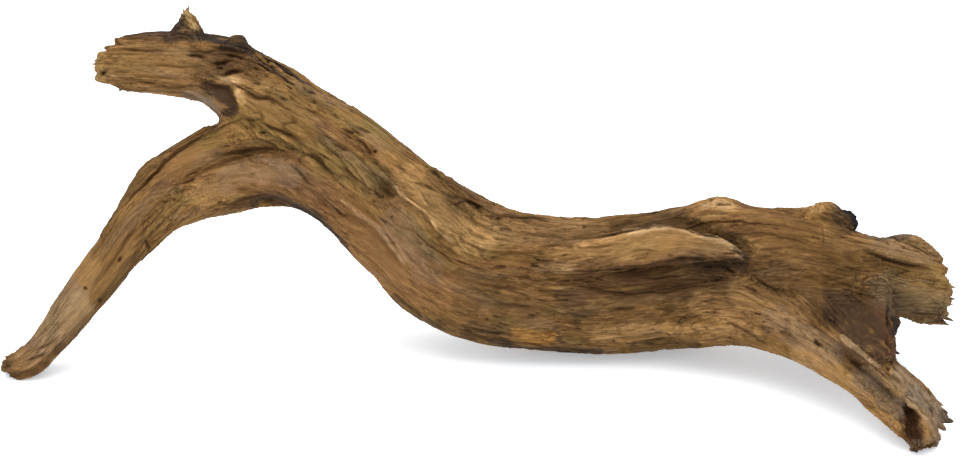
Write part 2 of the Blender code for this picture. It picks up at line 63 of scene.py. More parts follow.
# Strands of wood. A station is x, h, y, half its height and half its depth.
STRANDS = {
    "trunk": [
        (-130, 126, 28, 15, 17), (-117, 114, 23, 27, 24), (-95, 106, 19, 29, 27), (-74, 96, 15, 28, 28),
        (-56, 83, 11, 29, 28), (-39, 67, 7, 31, 29), (-18, 50, 4, 31, 29), (9, 39, 1, 31, 30),
        (40, 36, 0, 31, 30), (72, 35, 0, 32, 30), (102, 39, -1, 33, 29), (132, 42, -5, 32, 27),
        (164, 43, -8, 28, 24), (196, 41, -11, 22, 19), (220, 38, -13, 18, 14), (236, 35, -16, 16, 11),
        (255, 33, -18, 14, 9),
    ],
    "left_leg": [
        (-258, -11, -32, 5, 8), (-245, -8, -31, 7, 10), (-236, -4, -30, 8, 12), (-228, 6, -27, 8, 13),
        (-217, 20, -22, 10, 14), (-204, 37, -15, 11, 15), (-191, 53, -8, 11, 16), (-179, 68, -1, 13, 17),
        (-166, 80, 6, 16, 18), (-151, 89, 13, 19, 19), (-135, 95, 18, 21, 20), (-116, 100, 21, 22, 20),
        (-90, 97, 21, 20, 18),
    ],
    "left_arm": [
        (-210, 151, 41, 12, 10), (-198, 151, 40, 14, 11), (-188, 152, 39, 15, 12),
        (-170, 152, 40, 16, 16), (-151, 150.5, 37.5, 16, 16.5), (-137, 147.5, 34, 18, 17),
        (-123, 138, 29, 20, 17), (-103, 124, 25, 22, 18),
    ],
    "brow": [
        (-135, 136, 21, 6, 12), (-122, 132, 15, 8, 13), (-101, 121, 10, 11, 14), (-80, 108, 5, 11, 14),
        (-59, 95, -3, 9, 14), (-42, 82, -9, 7, 12), (-26, 68, -14, 6, 10), (-10, 57, -20, 6, 9),
    ],
    "crown": [
        (-128, 150, 30, 9, 12), (-112, 142, 26, 10, 13), (-90, 128, 24, 11, 13), (-65, 113, 21, 11, 13),
        (-45, 97, 17, 11, 12), (-28, 82, 12, 9, 11), (-12, 71, 9, 8, 10),
    ],
    "shoulder": [
        (-140, 104, 16, 9, 10), (-113, 100, 10, 16, 14), (-92, 90, 5, 14, 14), (-72, 76, -1, 13, 14),
        (-53, 60, -7, 12, 14), (-35, 45, -11, 10, 13), (-15, 33, -13, 8, 12), (10, 27, -15, 5, 9),
    ],
    "top_of_leg": [
        (-198, 59, -8, 4, 8), (-186, 78, 0, 4, 10), (-174, 94, 7, 5, 11), (-158, 104, 14, 5, 12),
        (-148, 109, 16, 6, 12), (-138, 113, 18, 6, 13), (-120, 118, 20, 6, 13),
    ],
    "under_leg": [
        (-194, 40, -17, 4, 9), (-178, 57, -5, 6, 11), (-163, 73, 5, 7, 13), (-149, 79, 9, 8, 13),
        (-128, 85, 12, 7, 13), (-109, 90, 11, 7, 14), (-90, 84, 6, 7, 14),
    ],
    "top_rim": [
        (-34, 92, 12, 6, 9), (-21, 86, 11, 6, 9), (-5, 77.5, 11, 5, 9), (18, 70, 12, 4, 8),
        (52, 66, 13, 4, 8), (85, 68, 12, 4, 8), (112, 73, 9, 4, 8), (127, 76, 8, 5, 8),
        (146, 72, 5, 4, 8), (168, 70, 3, 5, 8), (188, 71, 0, 6, 8),
    ],
    "belly": [
        (-60, 66, 4, 9, 9), (-38, 43, 0, 16, 14), (-23, 29, -7, 15, 14), (-2, 18, -10, 13, 14),
        (26, 14, -11, 13, 14), (58, 12, -11, 13, 14), (85, 12, -11, 12, 14), (111, 14, -13, 11, 13),
        (132, 14, -17, 10, 13), (154, 10, -26, 8, 12),
    ],
    "under_belly": [
        (-30, 50, 14, 8, 8), (-5, 31, 11, 11, 12), (22, 19, 8, 13, 15), (50, 14, 9, 13, 16),
        (80, 14, 9, 13, 16), (110, 18, 8, 12, 14), (140, 26, 4, 9, 11), (165, 32, 0, 6, 7),
    ],
    "back_upper": [
        (-125, 135, 38, 6, 6), (-90, 114, 40, 11, 9), (-50, 91, 34, 12, 10), (-10, 62, 26, 12, 10),
        (40, 52, 23, 12, 10), (90, 52, 22, 12, 10), (140, 55, 16, 11, 9), (185, 54, 7, 9, 8),
    ],
    "back_lower": [
        (-150, 100, 22, 6, 8), (-115, 101, 34, 8, 9), (-70, 88, 36, 10, 9), (-30, 60, 29, 11, 10),
        (15, 36, 24, 11, 10), (65, 30, 24, 11, 10), (115, 35, 20, 11, 10), (160, 38, 11, 9, 9),
    ],
    "stub_top": [
        (190, 52, -10, 11, 11), (212, 48, -9, 11, 11), (226, 49, -10, 13, 10), (238, 45, -12, 11, 8),
        (252, 40, -14, 8, 6),
    ],
    "stub_low": [
        (150, 42, -9, 8, 8), (180, 38, -16, 14, 13), (205, 30, -20, 13, 12), (218, 30, -21, 12, 10),
        (229, 28, -22, 11, 9), (238, 25, -23, 12, 8), (247, 24, -24, 10, 7), (256, 24, -25, 8, 6),
    ],
    "web": [
        (176, 36, -12, 14, 8), (190, 34, -20, 22, 9), (197, 24, -32, 23, 8), (203, 13, -46, 18, 8),
        (209, 3, -62, 12, 8), (212, -9, -79, 7, 7),
    ],
    "upper_slope": [
        (112, 52, -15, 4, 8), (138, 47, -23, 6, 9), (159, 39, -26, 6, 9), (180, 31, -29, 5, 8),
        (199, 23, -33, 5, 7),
    ],
    "lower_slope": [
        (84, 36, -14, 4, 8), (111, 34, -21, 6, 10), (135, 30, -27, 6, 9), (156, 20, -37, 6, 9),
        (175, 8, -49, 5, 8), (193, -6, -64, 4, 7),
    ],
    "valley": [
        (128, 34, -19, 6, 8), (150, 30, -26, 7, 8), (170, 24, -34, 8, 8), (188, 15, -44, 8, 8),
        (200, 5, -58, 7, 7),
    ],
    "leg_core": [
        (84, 28, -8, 8, 9), (116, 21, -18, 14, 18), (142, 18, -30, 13, 16), (166, 9, -47, 10, 13),
        (187, -3, -68, 8, 11), (205, -17, -88, 6, 9), (221, -30, -106, 6, 8), (231, -40, -117, 5, 8),
        (236, -49, -125, 4, 7), (237, -56, -130, 3, 5),
    ],
    "front_ridge_of_leg": [
        (76, 18, -9, 6, 8), (111, 16, -20, 10, 15), (138, 14, -32, 8, 14), (162, 6, -51, 7, 12),
        (183, -6, -73, 6, 10), (201, -19, -92, 5, 9), (216, -33.5, -109, 4, 8), (221, -38, -114, 4, 8),
        (228, -44, -120, 4, 8), (233, -51, -127, 4, 7), (235, -57, -132, 3, 6),
    ],
    "back_ridge_of_leg": [
        (98, 33, -6, 6, 10), (127, 29, -16, 9, 16), (156, 19, -34, 8, 14), (183, 4, -57, 6, 11),
        (202, -8, -76, 5, 9), (214, -18, -90, 4, 8), (226, -29, -104, 4, 8), (235, -39, -115, 4, 7),
        (240, -47, -122, 3, 6), (239, -54, -129, 3, 5),
    ],
    "rotten_flap": [
        (204, -3, -66, 4, 7), (216, -10, -77, 5, 6), (226, -17, -86, 5, 6), (235, -25.5, -96, 5, 5),
        (241, -31.5, -102, 4, 4), (247, -37.5, -108, 3, 3),
    ],
    "lower_flap": [
        (220, -23, -92, 3, 5), (231, -33, -104, 4, 4), (238, -41, -113, 4, 4), (239, -48, -119, 3, 3),
    ],
    "edge_lumps": [
        (212, 20, -37, 5, 5), (217, 16, -41, 5, 5), (218, 11, -46, 4, 4), (214, 5, -53, 4, 4),
        (215, 0, -60, 4, 4),
    ],
    "small_knob": [
        (-129, 157, 31, 8, 8), (-128.5, 163, 31, 6, 6), (-128.5, 166, 31, 4, 4),
    ],
    "charred_knob": [
        (174, 66, -2, 8, 9), (183, 69, -3, 9, 9), (193, 66, -4, 6, 7),
    ],
    "mossy_lump": [
        (-42, 94, 9, 4, 7), (-31, 91, 8, 4, 8), (-25, 92, 8, 4, 7), (-19, 86, 8, 4, 7),
        (-10, 78, 9, 3, 6),
    ],
}

# The finer forms: the raised tongue of wood on the front, with its free tip, the spur and the
# charred lump. A last value is how far a strand's top leans back, in degrees.
FINE_STRANDS = {
    "tongue": [
        (-40, 72, -14, 3, 6, 0), (-24, 61, -18, 4, 8, 0), (0, 52, -20, 7, 9, 10),
        (26, 48, -22, 9, 9, 20), (42, 48, -23, 10, 9, 28), (64, 51, -23, 11, 9, 35),
        (85, 54, -24, 11, 9, 38), (101, 55, -27, 10, 7, 40), (117, 54, -31, 7, 4, 35),
        (130, 52, -33, 5, 2.5, 30), (140, 49, -35, 2, 1.5, 30),
    ],
    "tongue_upper_tip": [
        (108, 58, -29, 4, 3, 30), (122, 57, -32, 3, 2, 30), (134, 54, -34, 1, 2, 30),
    ],
    "spur": [
        (-156, 156, 37, 15, 12), (-155.5, 165, 37, 11, 10), (-155, 170, 37, 7.5, 7.5),
        (-155, 174, 37, 4.6, 5), (-155.5, 177, 37, 2.9, 3.4), (-155.5, 180, 37, 1.7, 2.2),
        (-155.2, 182, 37, 0.8, 1),
    ],
    "charred_lump": [
        (190, 69, -3, 4, 6), (194, 69.5, -4, 4.3, 5.5), (197, 67.5, -5, 3.5, 5), (198.5, 65, -6, 2.5, 4),
    ],
}

# Long hollows of the front: half width, depth, and the x and h of their line.
HOLLOWS = [
    (6, 3, [(-140, 139), (-133, 135), (-130, 128), (-132, 122)]),
    (6, 4, [(-4, 70), (32, 63), (52, 62)]),
    (5, 5, [(38, 62), (60, 64), (78, 67), (94, 69), (108, 67), (122, 62), (136, 58), (146, 54)]),
    (7, 7, [(98, 58), (112, 58), (128, 54), (146, 52)]),
    (11, 7, [(44, 36), (74, 38), (106, 41), (135, 43), (152, 46)]),
    (12, 4, [(196, 26), (205, 14), (211, 2)]),
    (6, 3, [(-87, 100), (-105, 108), (-128, 104), (-150, 95), (-169, 86), (-183, 77)]),
    (8, 4, [(-54, 91), (-47, 81)]),
    (7, 3, [(-76, 74), (-60, 55), (-48, 40)]),
    (5, 5, [(190, -3), (204, -15), (217, -27), (226, -36)]),
    (5.5, 8, [(224, -29), (229, -37), (229, -44), (231, -52)]),
    (3, 4, [(190, 6), (200, -2), (209, -11), (216, -16), (225, -24), (233, -31.5), (238, -38)]),
]

# Ledges of the front: width, depth, how dark the painted shade below the step is, and line. The surface
# drops on the right of the line, as one travels along it, and comes back up over the width.
LEDGES = [
    (6, 3.5, 0.3, [(-146.5, 139.5), (-140, 141), (-134.5, 141), (-131.5, 138.5), (-130, 134.5), (-129, 130),
        (-130.5, 125.5)]),
    (7, 3.2, 0.3, [(-95.5, 97.5), (-103.5, 102), (-111.5, 104), (-122, 102.5), (-132.5, 99),
        (-165.5, 84.5)]),
    (6, 3, 0.6, [(-141.5, 74.5), (-130, 79.5), (-121, 82), (-112.5, 83), (-104.5, 81), (-96.5, 77.5),
        (-89, 73), (-82, 68)]),
    (8, 3, 0.35, [(-55, 96.5), (-42, 83), (-29.5, 73.5), (-22.5, 63), (-17.5, 59.5), (-10.5, 57)]),
    (9, 3, 0.35, [(-73, 80), (-65.5, 73), (-60.5, 70), (-54.5, 65), (-50, 60), (-43, 49.5), (-38, 44.5)]),
    (6, 2, 0.3, [(-14, 46), (-20.5, 50.5), (-25, 54.5), (-36, 62.5), (-43.5, 65.5)]),
    (4, 1.5, 0.3, [(-23.5, 44.5), (-18, 41.5), (-11.5, 43.5), (-7.5, 47)]),
    (5, 1.8, 0.3, [(-27.5, 29.5), (-21, 25.5), (-16, 23), (-9.5, 20.5), (-1, 19)]),
    (8, 2.5, 0.4, [(104, 63.5), (123, 68.5), (144, 68), (158, 66)]),
    (6, 4.5, 0.62, [(146.5, 44.5), (135.5, 51), (134, 55), (131.5, 56.5), (120.5, 59), (105, 64),
        (99.5, 65), (87.5, 64.5), (67.5, 60), (49.5, 58), (26.5, 56.5)]),
    (8, 5, 0.72, [(58.5, 42.5), (67.5, 44), (98, 47.5), (106, 49.5), (116.5, 50), (132.5, 47.5),
        (140, 47.5), (146.5, 46)]),
    (4, 1.2, 0.25, [(140.5, 54.5), (153.5, 49), (161.5, 47), (168.5, 43.5)]),
    (4, 1.2, 0.25, [(138, 30.5), (147, 25.5), (155, 21.5), (168, 18.5)]),
    (4, 2, 0.4, [(60.5, 6), (85, 9), (129.5, 10)]),
    (5, 1.6, 0.3, [(192, 31.5), (197, 32), (209.5, 27.5), (216, 24.5)]),
    (4, 1.5, 0.3, [(173, 43.5), (181.5, 41), (188.5, 37), (204.5, 31.5), (211, 28)]),
    (5, 1.8, 0.35, [(-212, 15), (-201.5, 26.5), (-189.5, 46.5), (-183, 52.5), (-175, 57)]),
    (5, 2, 0.4, [(199.5, 54.5), (212, 49.5), (222.5, 46), (233, 44), (245.5, 40.5)]),
    (4, 1.5, 0.3, [(-117.5, 139), (-108.5, 136), (-97.5, 132), (-74, 120)]),
    (5, 1.6, 0.3, [(-5.5, 55), (10.5, 53), (42.5, 52)]),
    (4, 1.3, 0.3, [(13, 46.5), (47.5, 39)]),
    (4, 1.2, 0.3, [(-5.5, 28), (10.5, 25), (29, 23.5), (47.5, 23.5)]),
    (4, 1.3, 0.3, [(148.5, 62.5), (164.5, 59.5), (177.5, 55)]),
]

# Narrow cuts and ridges of the front: half width, depth, tint and line. A negative depth is a ridge. A
# positive tint darkens the cut as painted shade, and a negative tint is pale, a painted highlight along the
# ridge.
CUTS = [
    (1.3, 2.4, 0.9, [(-125, 123), (-143.5, 114.5), (-157, 107.5), (-162, 104), (-167.5, 99), (-182.5, 82.5),
        (-192, 73)]),
    (1, -0.8, -1, [(-126, 124), (-144, 116), (-157, 109), (-162, 105.5)]),
    (2, -0.8, -0.45, [(-103.5, 99.5), (-115.5, 101), (-127, 98.5), (-148.5, 89.5)]),
    (1.5, 2.2, 0.8, [(-138, 103.5), (-119, 106.5), (-107, 107), (-101, 104.5)]),
    (0.9, 1.6, 0.95, [(-159.5, 87.5), (-155, 89), (-149.5, 91.5)]),
    (1.2, 1.8, 0.85, [(-118.5, 121.5), (-106, 116.5), (-93, 109.5)]),
    (1.3, 2, 0.85, [(-96.5, 105.5), (-89, 103), (-84.5, 99), (-80, 95), (-76.5, 90)]),
    (1, 1.4, 0.75, [(-100.5, 99), (-86, 85.5)]),
    (1.1, 1.6, 0.8, [(-92, 106.5), (-86, 102.5), (-81, 97)]),
    (0.8, -0.8, -0.6, [(-92, 112), (-86.5, 105.5), (-76.5, 91.5)]),
    (0.8, -0.8, -0.6, [(-88.5, 111.5), (-82.5, 105.5), (-77.5, 98.5)]),
    (1, 1.4, 0.85, [(-125, 122.5), (-121.5, 121.5), (-117.5, 121.5)]),
    (1, 1.6, 0.9, [(-117, 115.5), (-112.5, 115.5)]),
    (1.3, 1.6, 0.85, [(-73, 118), (-69, 116), (-64, 115.5)]),
    (1.1, 1.4, 0.85, [(-66, 119), (-57, 114.5)]),
    (1.3, 1.8, 0.9, [(-63.5, 111), (-58, 104.5), (-55, 102.5)]),
    (1.2, 1.6, 0.9, [(-57, 105), (-54, 106.5)]),
    (1, 1.5, 0.75, [(-79, 111), (-68.5, 104.5)]),
    (4.2, 1.8, 0.35, [(-53.5, 90), (-46, 79.5)]),
    (1.1, 1, 0.7, [(-52.5, 86.5), (-45.5, 81)]),
    (1, -0.9, -0.9, [(-52, 93.5), (-41.5, 82.5), (-29.5, 73), (-21, 62), (-15, 58.5)]),
    (1, -0.8, -0.8, [(-72.5, 79.5), (-65.5, 72.5), (-60.5, 69.5), (-54.5, 64.5), (-50, 59.5), (-46.5, 54),
        (-40.5, 46.5)]),
    (0.9, -0.7, -0.7, [(-42.5, 65.5), (-35.5, 62.5), (-24.5, 54.5)]),
    (1.2, 1.8, 0.85, [(-16, 76.5), (-10, 78), (-4, 77.5), (0, 74), (1, 69.5)]),
    (1.2, 1.8, 0.7, [(-21, 85), (-15, 81), (-7.5, 79), (5.5, 73)]),
    (5, -2.2, -0.1, [(-10.5, 72.5), (-3.5, 72.5)]),
    (1.3, 1.8, 0.95, [(-27, 97), (-19, 89.5)]),
    (1, 1.4, 0.7, [(-36.5, 89.5), (-26.5, 86), (-22.5, 83)]),
    (0.9, 1, 0.6, [(-45, 99), (-37.5, 93.5)]),
    (1.4, 2.4, 0.9, [(-132, 141), (-127, 139.5), (-117.5, 133.5), (-112.5, 133.5), (-103.5, 128.5),
        (-100, 127.5)]),
    (2.6, -2.2, -0.9, [(-136, 143.5), (-132.5, 144), (-128.5, 142.5), (-124, 140)]),
    (2, -1.4, -0.8, [(-130, 138.5), (-128.5, 134.5)]),
    (1.4, 2.2, 0.9, [(-139.5, 146.5), (-135.5, 146), (-131, 147.5), (-124, 148.5)]),
    (1.5, 2.2, 0.95, [(-143, 152.5), (-139, 152), (-131, 153.5)]),
    (1.2, 1.8, 0.9, [(-137.5, 157), (-126.5, 155), (-122, 153)]),
    (1.2, 1.8, 0.8, [(-144.5, 161), (-129.5, 158), (-123, 155.5)]),
    (1.1, 1.8, 0.9, [(-140.5, 149.5), (-135.5, 150)]),
    (1.2, 1.8, 0.9, [(-156.5, 156.5), (-145, 155.5)]),
    (1, 1.4, 0.7, [(-155, 158.5), (-146, 158), (-138, 159)]),
    (0.7, 1.8, 1, [(-125, 158), (-118.5, 155.5), (-104, 144.5), (-97, 140.5), (-91.5, 138.5)]),
    (0.5, 1.4, 1, [(-120.5, 159), (-105, 149), (-92, 139.5)]),
    (0.5, 1.2, 0.95, [(-123, 154), (-104, 144.5)]),
    (0.9, 1.2, 0.9, [(-91, 138), (-86.5, 135)]),
    (0.9, -1, -0.6, [(-123, 156.5), (-115.5, 152), (-99.5, 141.5), (-92, 138)]),
    (0.7, 1, 0.7, [(-191, 164), (-183, 164.5), (-170.5, 164)]),
    (0.7, 1, 0.6, [(-197.5, 158.5), (-175, 159), (-160, 158)]),
    (0.8, 0.9, 0.45, [(-186.5, 146.5), (-153.5, 143.5)]),
    (0.8, 0.9, 0.45, [(-182.5, 152), (-164.5, 150.5), (-146.5, 150.5)]),
    (0.8, 1, 0.5, [(-175, 139.5), (-151, 140)]),
    (0.7, -0.6, -0.5, [(-162, 148.5), (-152.5, 148.5)]),
    (0.7, -0.6, -0.5, [(-186.5, 140), (-170.5, 139.5)]),
    (0.7, -0.6, -0.5, [(-191, 160), (-175, 160)]),
    (2.6, 3, 0.7, [(-200, 149), (-198, 146)]),
    (3, 3.4, 0.4, [(188, 2.5), (227, -33.5)]),
    (1.3, -1.8, -0.8, [(189.5, 6.5), (195, 0.5), (201.5, -5.5), (208, -10), (219, -20), (233.5, -35),
        (238.5, -41), (240.5, -46)]),
    (2.2, -1.6, -0.5, [(169.5, 0), (180, -6.5), (199, -20), (208, -27.5), (216, -35.5), (222, -42.5)]),
    (2.2, -1.8, -0.5, [(140, 27), (165.5, 11.5), (182.5, 3)]),
    (1.8, -1.4, -0.45, [(115.5, 26), (131.5, 18.5), (153.5, 5.5)]),
    (1.4, 2.4, 0.9, [(176.5, 5.5), (182, 1)]),
    (1.1, 1.4, 0.8, [(143, 40), (151, 35.5), (157, 31.5), (162.5, 29)]),
    (1, 1.3, 0.75, [(138.5, 34.5), (149, 29.5)]),
    (1.2, 1.6, 0.6, [(158, 11), (166.5, 6.5)]),
    (1, 1.4, 0.6, [(130, 17), (152.5, 2.5)]),
    (1.1, 1.4, 0.55, [(169.5, 17), (181.5, 10), (192, 2)]),
    (1, 1.3, 0.6, [(192, -1), (205.5, -14)]),
    (4.5, 4.5, 0.55, [(224.5, -25.5), (227.5, -32), (229.5, -40), (231, -47.5), (231.5, -54)]),
    (0.6, 0.8, 0.5, [(181.5, 65.5), (182, 54)]),
    (1.2, 1.8, 0.85, [(200.5, 53), (222.5, 45.5), (233, 44), (245, 41)]),
    (0.7, 0.8, 0.4, [(191, 60.5), (200.5, 54.5), (212, 50)]),
    (0.9, 1, 0.6, [(-4, 37), (5.5, 34.5), (17, 32.5), (27.5, 31.5)]),
    (0.9, 1.1, 0.6, [(2, 27), (10.5, 25), (21, 23.5), (33, 24)]),
    (0.8, -0.7, -0.6, [(27.5, 28.5), (43.5, 27)]),
    (0.9, 1, 0.6, [(36, 20.5), (64.5, 17)]),
    (1, -0.8, -0.5, [(60.5, 6.5), (85, 9.5), (119, 10.5)]),
    (1.1, 1.3, 0.9, [(82.5, 5), (109, 6.5)]),
    (0.8, -0.6, -0.5, [(-23.5, 27), (-18, 24), (-12.5, 21.5), (-6.5, 20)]),
    (0.9, 1.2, 0.7, [(-5.5, 11.5), (5.5, 9.5), (17, 9)]),
    (1, 1.2, 0.8, [(9, 63), (14.5, 63.5), (18, 62)]),
    (1, 1.2, 0.7, [(18.5, 69.5), (32, 70.5), (42.5, 69)]),
    (1.1, 1.4, 0.7, [(18.5, 61.5), (34.5, 60.5), (49, 58.5)]),
    (1, 1.6, 0.9, [(129.5, 44.5), (135.5, 40.5)]),
    (0.8, 1, 0.6, [(51, 41.5), (85, 43)]),
    (0.8, 1, 0.6, [(85, 39), (95.5, 38.5), (111.5, 40)]),
    (0.8, 0.9, 0.5, [(61.5, 31.5), (85, 30), (111.5, 32)]),
    (0.9, 1.1, 0.6, [(65.5, 22.5), (87.5, 21.5)]),
    (1.2, 1.6, 0.8, [(-177.5, 59.5), (-176, 54.5), (-177, 52)]),
    (1, 1.4, 0.85, [(-192, 46), (-189.5, 49.5)]),
    (1.3, 1.6, 0.85, [(-209.5, 32), (-208.5, 33.5)]),
    (1.3, 1.6, 0.7, [(-202.5, 27.5), (-201, 25)]),
    (0.8, 0.9, 0.5, [(-175, 68), (-180, 58.5), (-186.5, 52)]),
    (0.9, -0.7, -0.5, [(-176.5, 65.5), (-183, 54.5), (-212, 23.5)]),
    (0.9, 1, 0.5, [(-180, 71.5), (-185.5, 61), (-195, 46.5), (-204, 34.5)]),
    (1.4, 1.8, 0.7, [(-170.5, 102.5), (-166.5, 106)]),
    (1, 1.2, 0.6, [(-229, -1), (-234.5, -4), (-241.5, -6.5)]),
    (1.1, 1.4, 0.6, [(-222.5, 8), (-229, 2.5), (-236.5, -0.5)]),
    (1.6, -1, -0.5, [(120, 75.5), (127, 79.5), (135, 76)]),
    (0.9, 1.3, 0.6, [(112.5, 71), (124.5, 73), (138, 71)]),
    (1, 1.3, 0.7, [(125, 68), (136.5, 68.5), (144, 67.5)]),
    (1.6, -1, -0.45, [(-157, 110), (-170.5, 101), (-176.5, 96), (-181.5, 90)]),
    (0.9, 1.4, 0.8, [(-69.5, 119), (-61.5, 114)]),
    (0.9, 1.4, 0.8, [(-68, 113.5), (-63, 111), (-59.5, 107.5)]),
    (0.7, -0.7, -0.95, [(139, 49), (134.5, 52.5), (132, 56), (121, 58.5), (105.5, 63.5), (99.5, 64.5),
        (87.5, 64), (67.5, 59.5), (49.5, 57), (40, 56.5)]),
    (0.8, -0.6, -0.6, [(183.5, 33.5), (195, 32.5), (202, 30.5), (209.5, 28)]),
    (0.7, 0.8, 0.5, [(50.5, 53.5), (77, 56)]),
    (0.6, 0.8, 0.5, [(77, 52), (87.5, 53), (96.5, 52.5)]),
    (0.7, -0.8, -0.8, [(121.5, 75.5), (125, 76.5), (123.5, 73.5), (128.5, 74)]),
    (0.8, 1.8, 0.95, [(200, -2), (209.5, -10.5), (216, -15.5), (224.5, -24), (233, -31.5), (239, -37.5)]),
    (1, 1.5, 0.9, [(216, 26.5), (216, 14), (217, 8.5)]),
    (0.5, 0.9, 0.85, [(-115.5, 153.5), (-95.5, 141)]),
    (0.4, 0.8, 0.9, [(-111.5, 155), (-89, 139.5)]),
    (0.5, 0.8, 0.8, [(-131.5, 162), (-124, 159.5), (-116.5, 156)]),
    (0.4, 0.7, 0.8, [(-103, 147.5), (-79.5, 134)]),
    (0.9, -0.8, -0.7, [(-51, 65.5), (-45.5, 58.5), (-35, 41.5)]),
    (0.8, -0.8, -0.7, [(-22.5, 77), (-17, 68), (-9.5, 60.5), (3, 57), (32, 56.5)]),
    (0.7, -0.6, -0.7, [(74, 10.5), (95.5, 12.5), (116.5, 11.5), (132.5, 7.5)]),
    (0.6, -0.6, -0.7, [(32, 28.5), (42.5, 27.5), (53, 28.5)]),
    (0.7, 1.2, 0.8, [(132.5, 53), (136, 52), (138.5, 50)]),
    (0.7, -0.6, -0.8, [(201.5, 64.5), (222.5, 56.5), (233, 52), (242.5, 46.5)]),
    (0.5, 1, 0.8, [(202.5, 65.5), (222.5, 58.5), (241.5, 48)]),
    (0.8, -0.8, -0.9, [(-129.5, 139.5), (-127.5, 136.5), (-127.5, 134)]),
]

# Parts of the front where the grain is worn smooth: half width, how smooth, and line.
SMOOTH = [
    (17, 1, [(197, 25.5), (211, 2.5)]),
    (7, 0.85, [(-143, 138), (-136.5, 136), (-132, 127)]),
    (9, 0.75, [(-175, 87), (-156.5, 100.5), (-146, 104.5), (-133.5, 105)]),
    (10, 0.6, [(-153.5, 76.5), (-140.5, 85), (-122, 91), (-100.5, 90)]),
    (9, 0.55, [(-71.5, 71.5), (-42.5, 40), (-26.5, 32)]),
    (9, 0.6, [(50.5, 51), (85, 56.5), (106, 56.5), (124.5, 53.5)]),
    (14, 0.65, [(-180, 74), (-209.5, 26.5), (-225, 5.5)]),
    (12, 0.45, [(-191, 152.5), (-148.5, 149.5)]),
    (9, 0.45, [(148.5, 10.5), (175, -5.5), (201.5, -26.5)]),
    (12, 0.35, [(153.5, 58.5), (180, 55.5), (206.5, 46.5)]),
    (8, 0.6, [(196, 23.5), (212, 17)]),
    (11, 0.5, [(-49, 58.5), (-24, 28.5)]),
    (12, 0.95, [(212, 27.5), (216, 9.5)]),
    (9, 0.55, [(220, 34), (241, 23.5)]),
    (10, 0.4, [(63.5, 36), (122, 37)]),
]

# Crumbled places: half width, how rough, and line.
ROUGH = [
    (7, 0.9, [(176, 77), (186, 76), (196, 72), (201, 66)]),
    (7, 0.9, [(-160, 166), (-155, 172), (-155, 182)]),
    (5, 0.7, [(-144, 153), (-132, 154), (-121, 152)]),
    (5, 0.8, [(214, 26), (218, 20), (219, 10)]),
    (5, 0.8, [(222, 18), (236, 14), (250, 17)]),
    (5, 0.7, [(-31, 96), (-24, 94), (-18, 89)]),
    (4, 0.6, [(120, 77), (128, 79), (136, 75)]),
    (5, 0.6, [(228, -52), (236, -54), (241, -46)]),
    (5, 1.2, [(240, -33), (246, -38), (250, -42)]),
    (5, 1.0, [(214, 22), (219, 15), (216, 8), (217, -2)]),
    (6, 0.5, [(204, -6), (218, -12), (232, -22)]),
    (9, 0.3, [(-184, 152), (-160, 150), (-140, 148)]),
    (9, 0.35, [(-70, 90), (-52, 74), (-36, 58), (-20, 48)]),
    (9, 0.35, [(-200, 50), (-216, 28), (-230, 8)]),
    (5, 0.6, [(-116, 117), (-108, 114), (-98, 113)]),
    (7, 0.5, [(-100, 110), (-90, 100), (-80, 92)]),
    (6, 0.5, [(-126, 110), (-112, 108), (-102, 106)]),
    (8, 0.4, [(30, 22), (60, 18), (95, 20)]),
    (6, 0.4, [(116, 30), (135, 22), (150, 16)]),
    (5, 0.6, [(-72, 118), (-64, 112), (-55, 103)]),
]

# Splinters at the torn ends: x, h and y of the root and of the tip, and the root's radius.
SPLINTERS = [
    (-192, 159, 38, -199, 160.5, 40, 1.1), (-192, 158, 37, -197, 158, 36, 1.0),
    (-198, 154, 38, -204.5, 153.5, 39, 1.3), (-198, 152, 40, -205.5, 151.5, 41, 1.2),
    (-198, 150, 36, -204, 150.5, 36, 1.0), (-244, -4, -28, -252, -3.5, -30, 1.2),
    (-245, -7, -27, -254, -8.5, -28, 1.3), (-244, -9, -33, -252, -10, -35, 1.2),
    (236, 45, -14, 247, 43.5, -15, 1.5), (238, 37, -20, 252, 33, -22, 1.6),
    (240, 29, -22, 252, 27, -23, 1.4), (238, 20, -25, 251, 15.5, -27, 1.7),
    (232, 17, -25, 246, 13.5, -28, 1.5), (236, 24, -26, 248, 21, -28, 1.2),
    (214, 26, -30, 224, 24, -32, 1.7), (213, 22, -34, 222, 18.5, -35, 1.8),
    (213, 19, -38, 223, 15, -39, 1.6), (213, 15, -42, 221, 11, -43, 1.6),
    (212, 12, -46, 219, 8.5, -47, 1.4), (214, 1, -60, 222.5, -2, -60, 1.4),
    (215, -4, -66, 221, -7, -66, 1.3), (214, -1, -64, 219.5, 1, -63, 1.2),
    (228, -15, -83, 243, -27.5, -97, 1.3), (236, -22, -90, 246, -30, -99, 1.0),
    (243, -31, -102, 248, -33.5, -106, 1.6), (243, -36, -107, 251, -38, -110, 2.4),
    (243, -39, -109, 247, -42.5, -113, 2.0), (-157, 172, 36, -158.5, 177.5, 36, 1.2),
    (-153.5, 171, 36, -151, 175, 36, 1.3), (-155, 175, 37, -154.5, 182.5, 37, 1.0),
    (-156.5, 175, 38, -157.2, 181, 38, 0.9), (-151, 167, 36, -147, 170.5, 36, 1.5),
    (-160, 167, 36, -162.5, 170.5, 36, 1.4), (196, 69, -5, 199.5, 71, -6, 1.8),
    (181, 76, -3, 180, 78.5, -3, 1.4), (185, 76, -3, 186.5, 78, -3, 1.4),
]

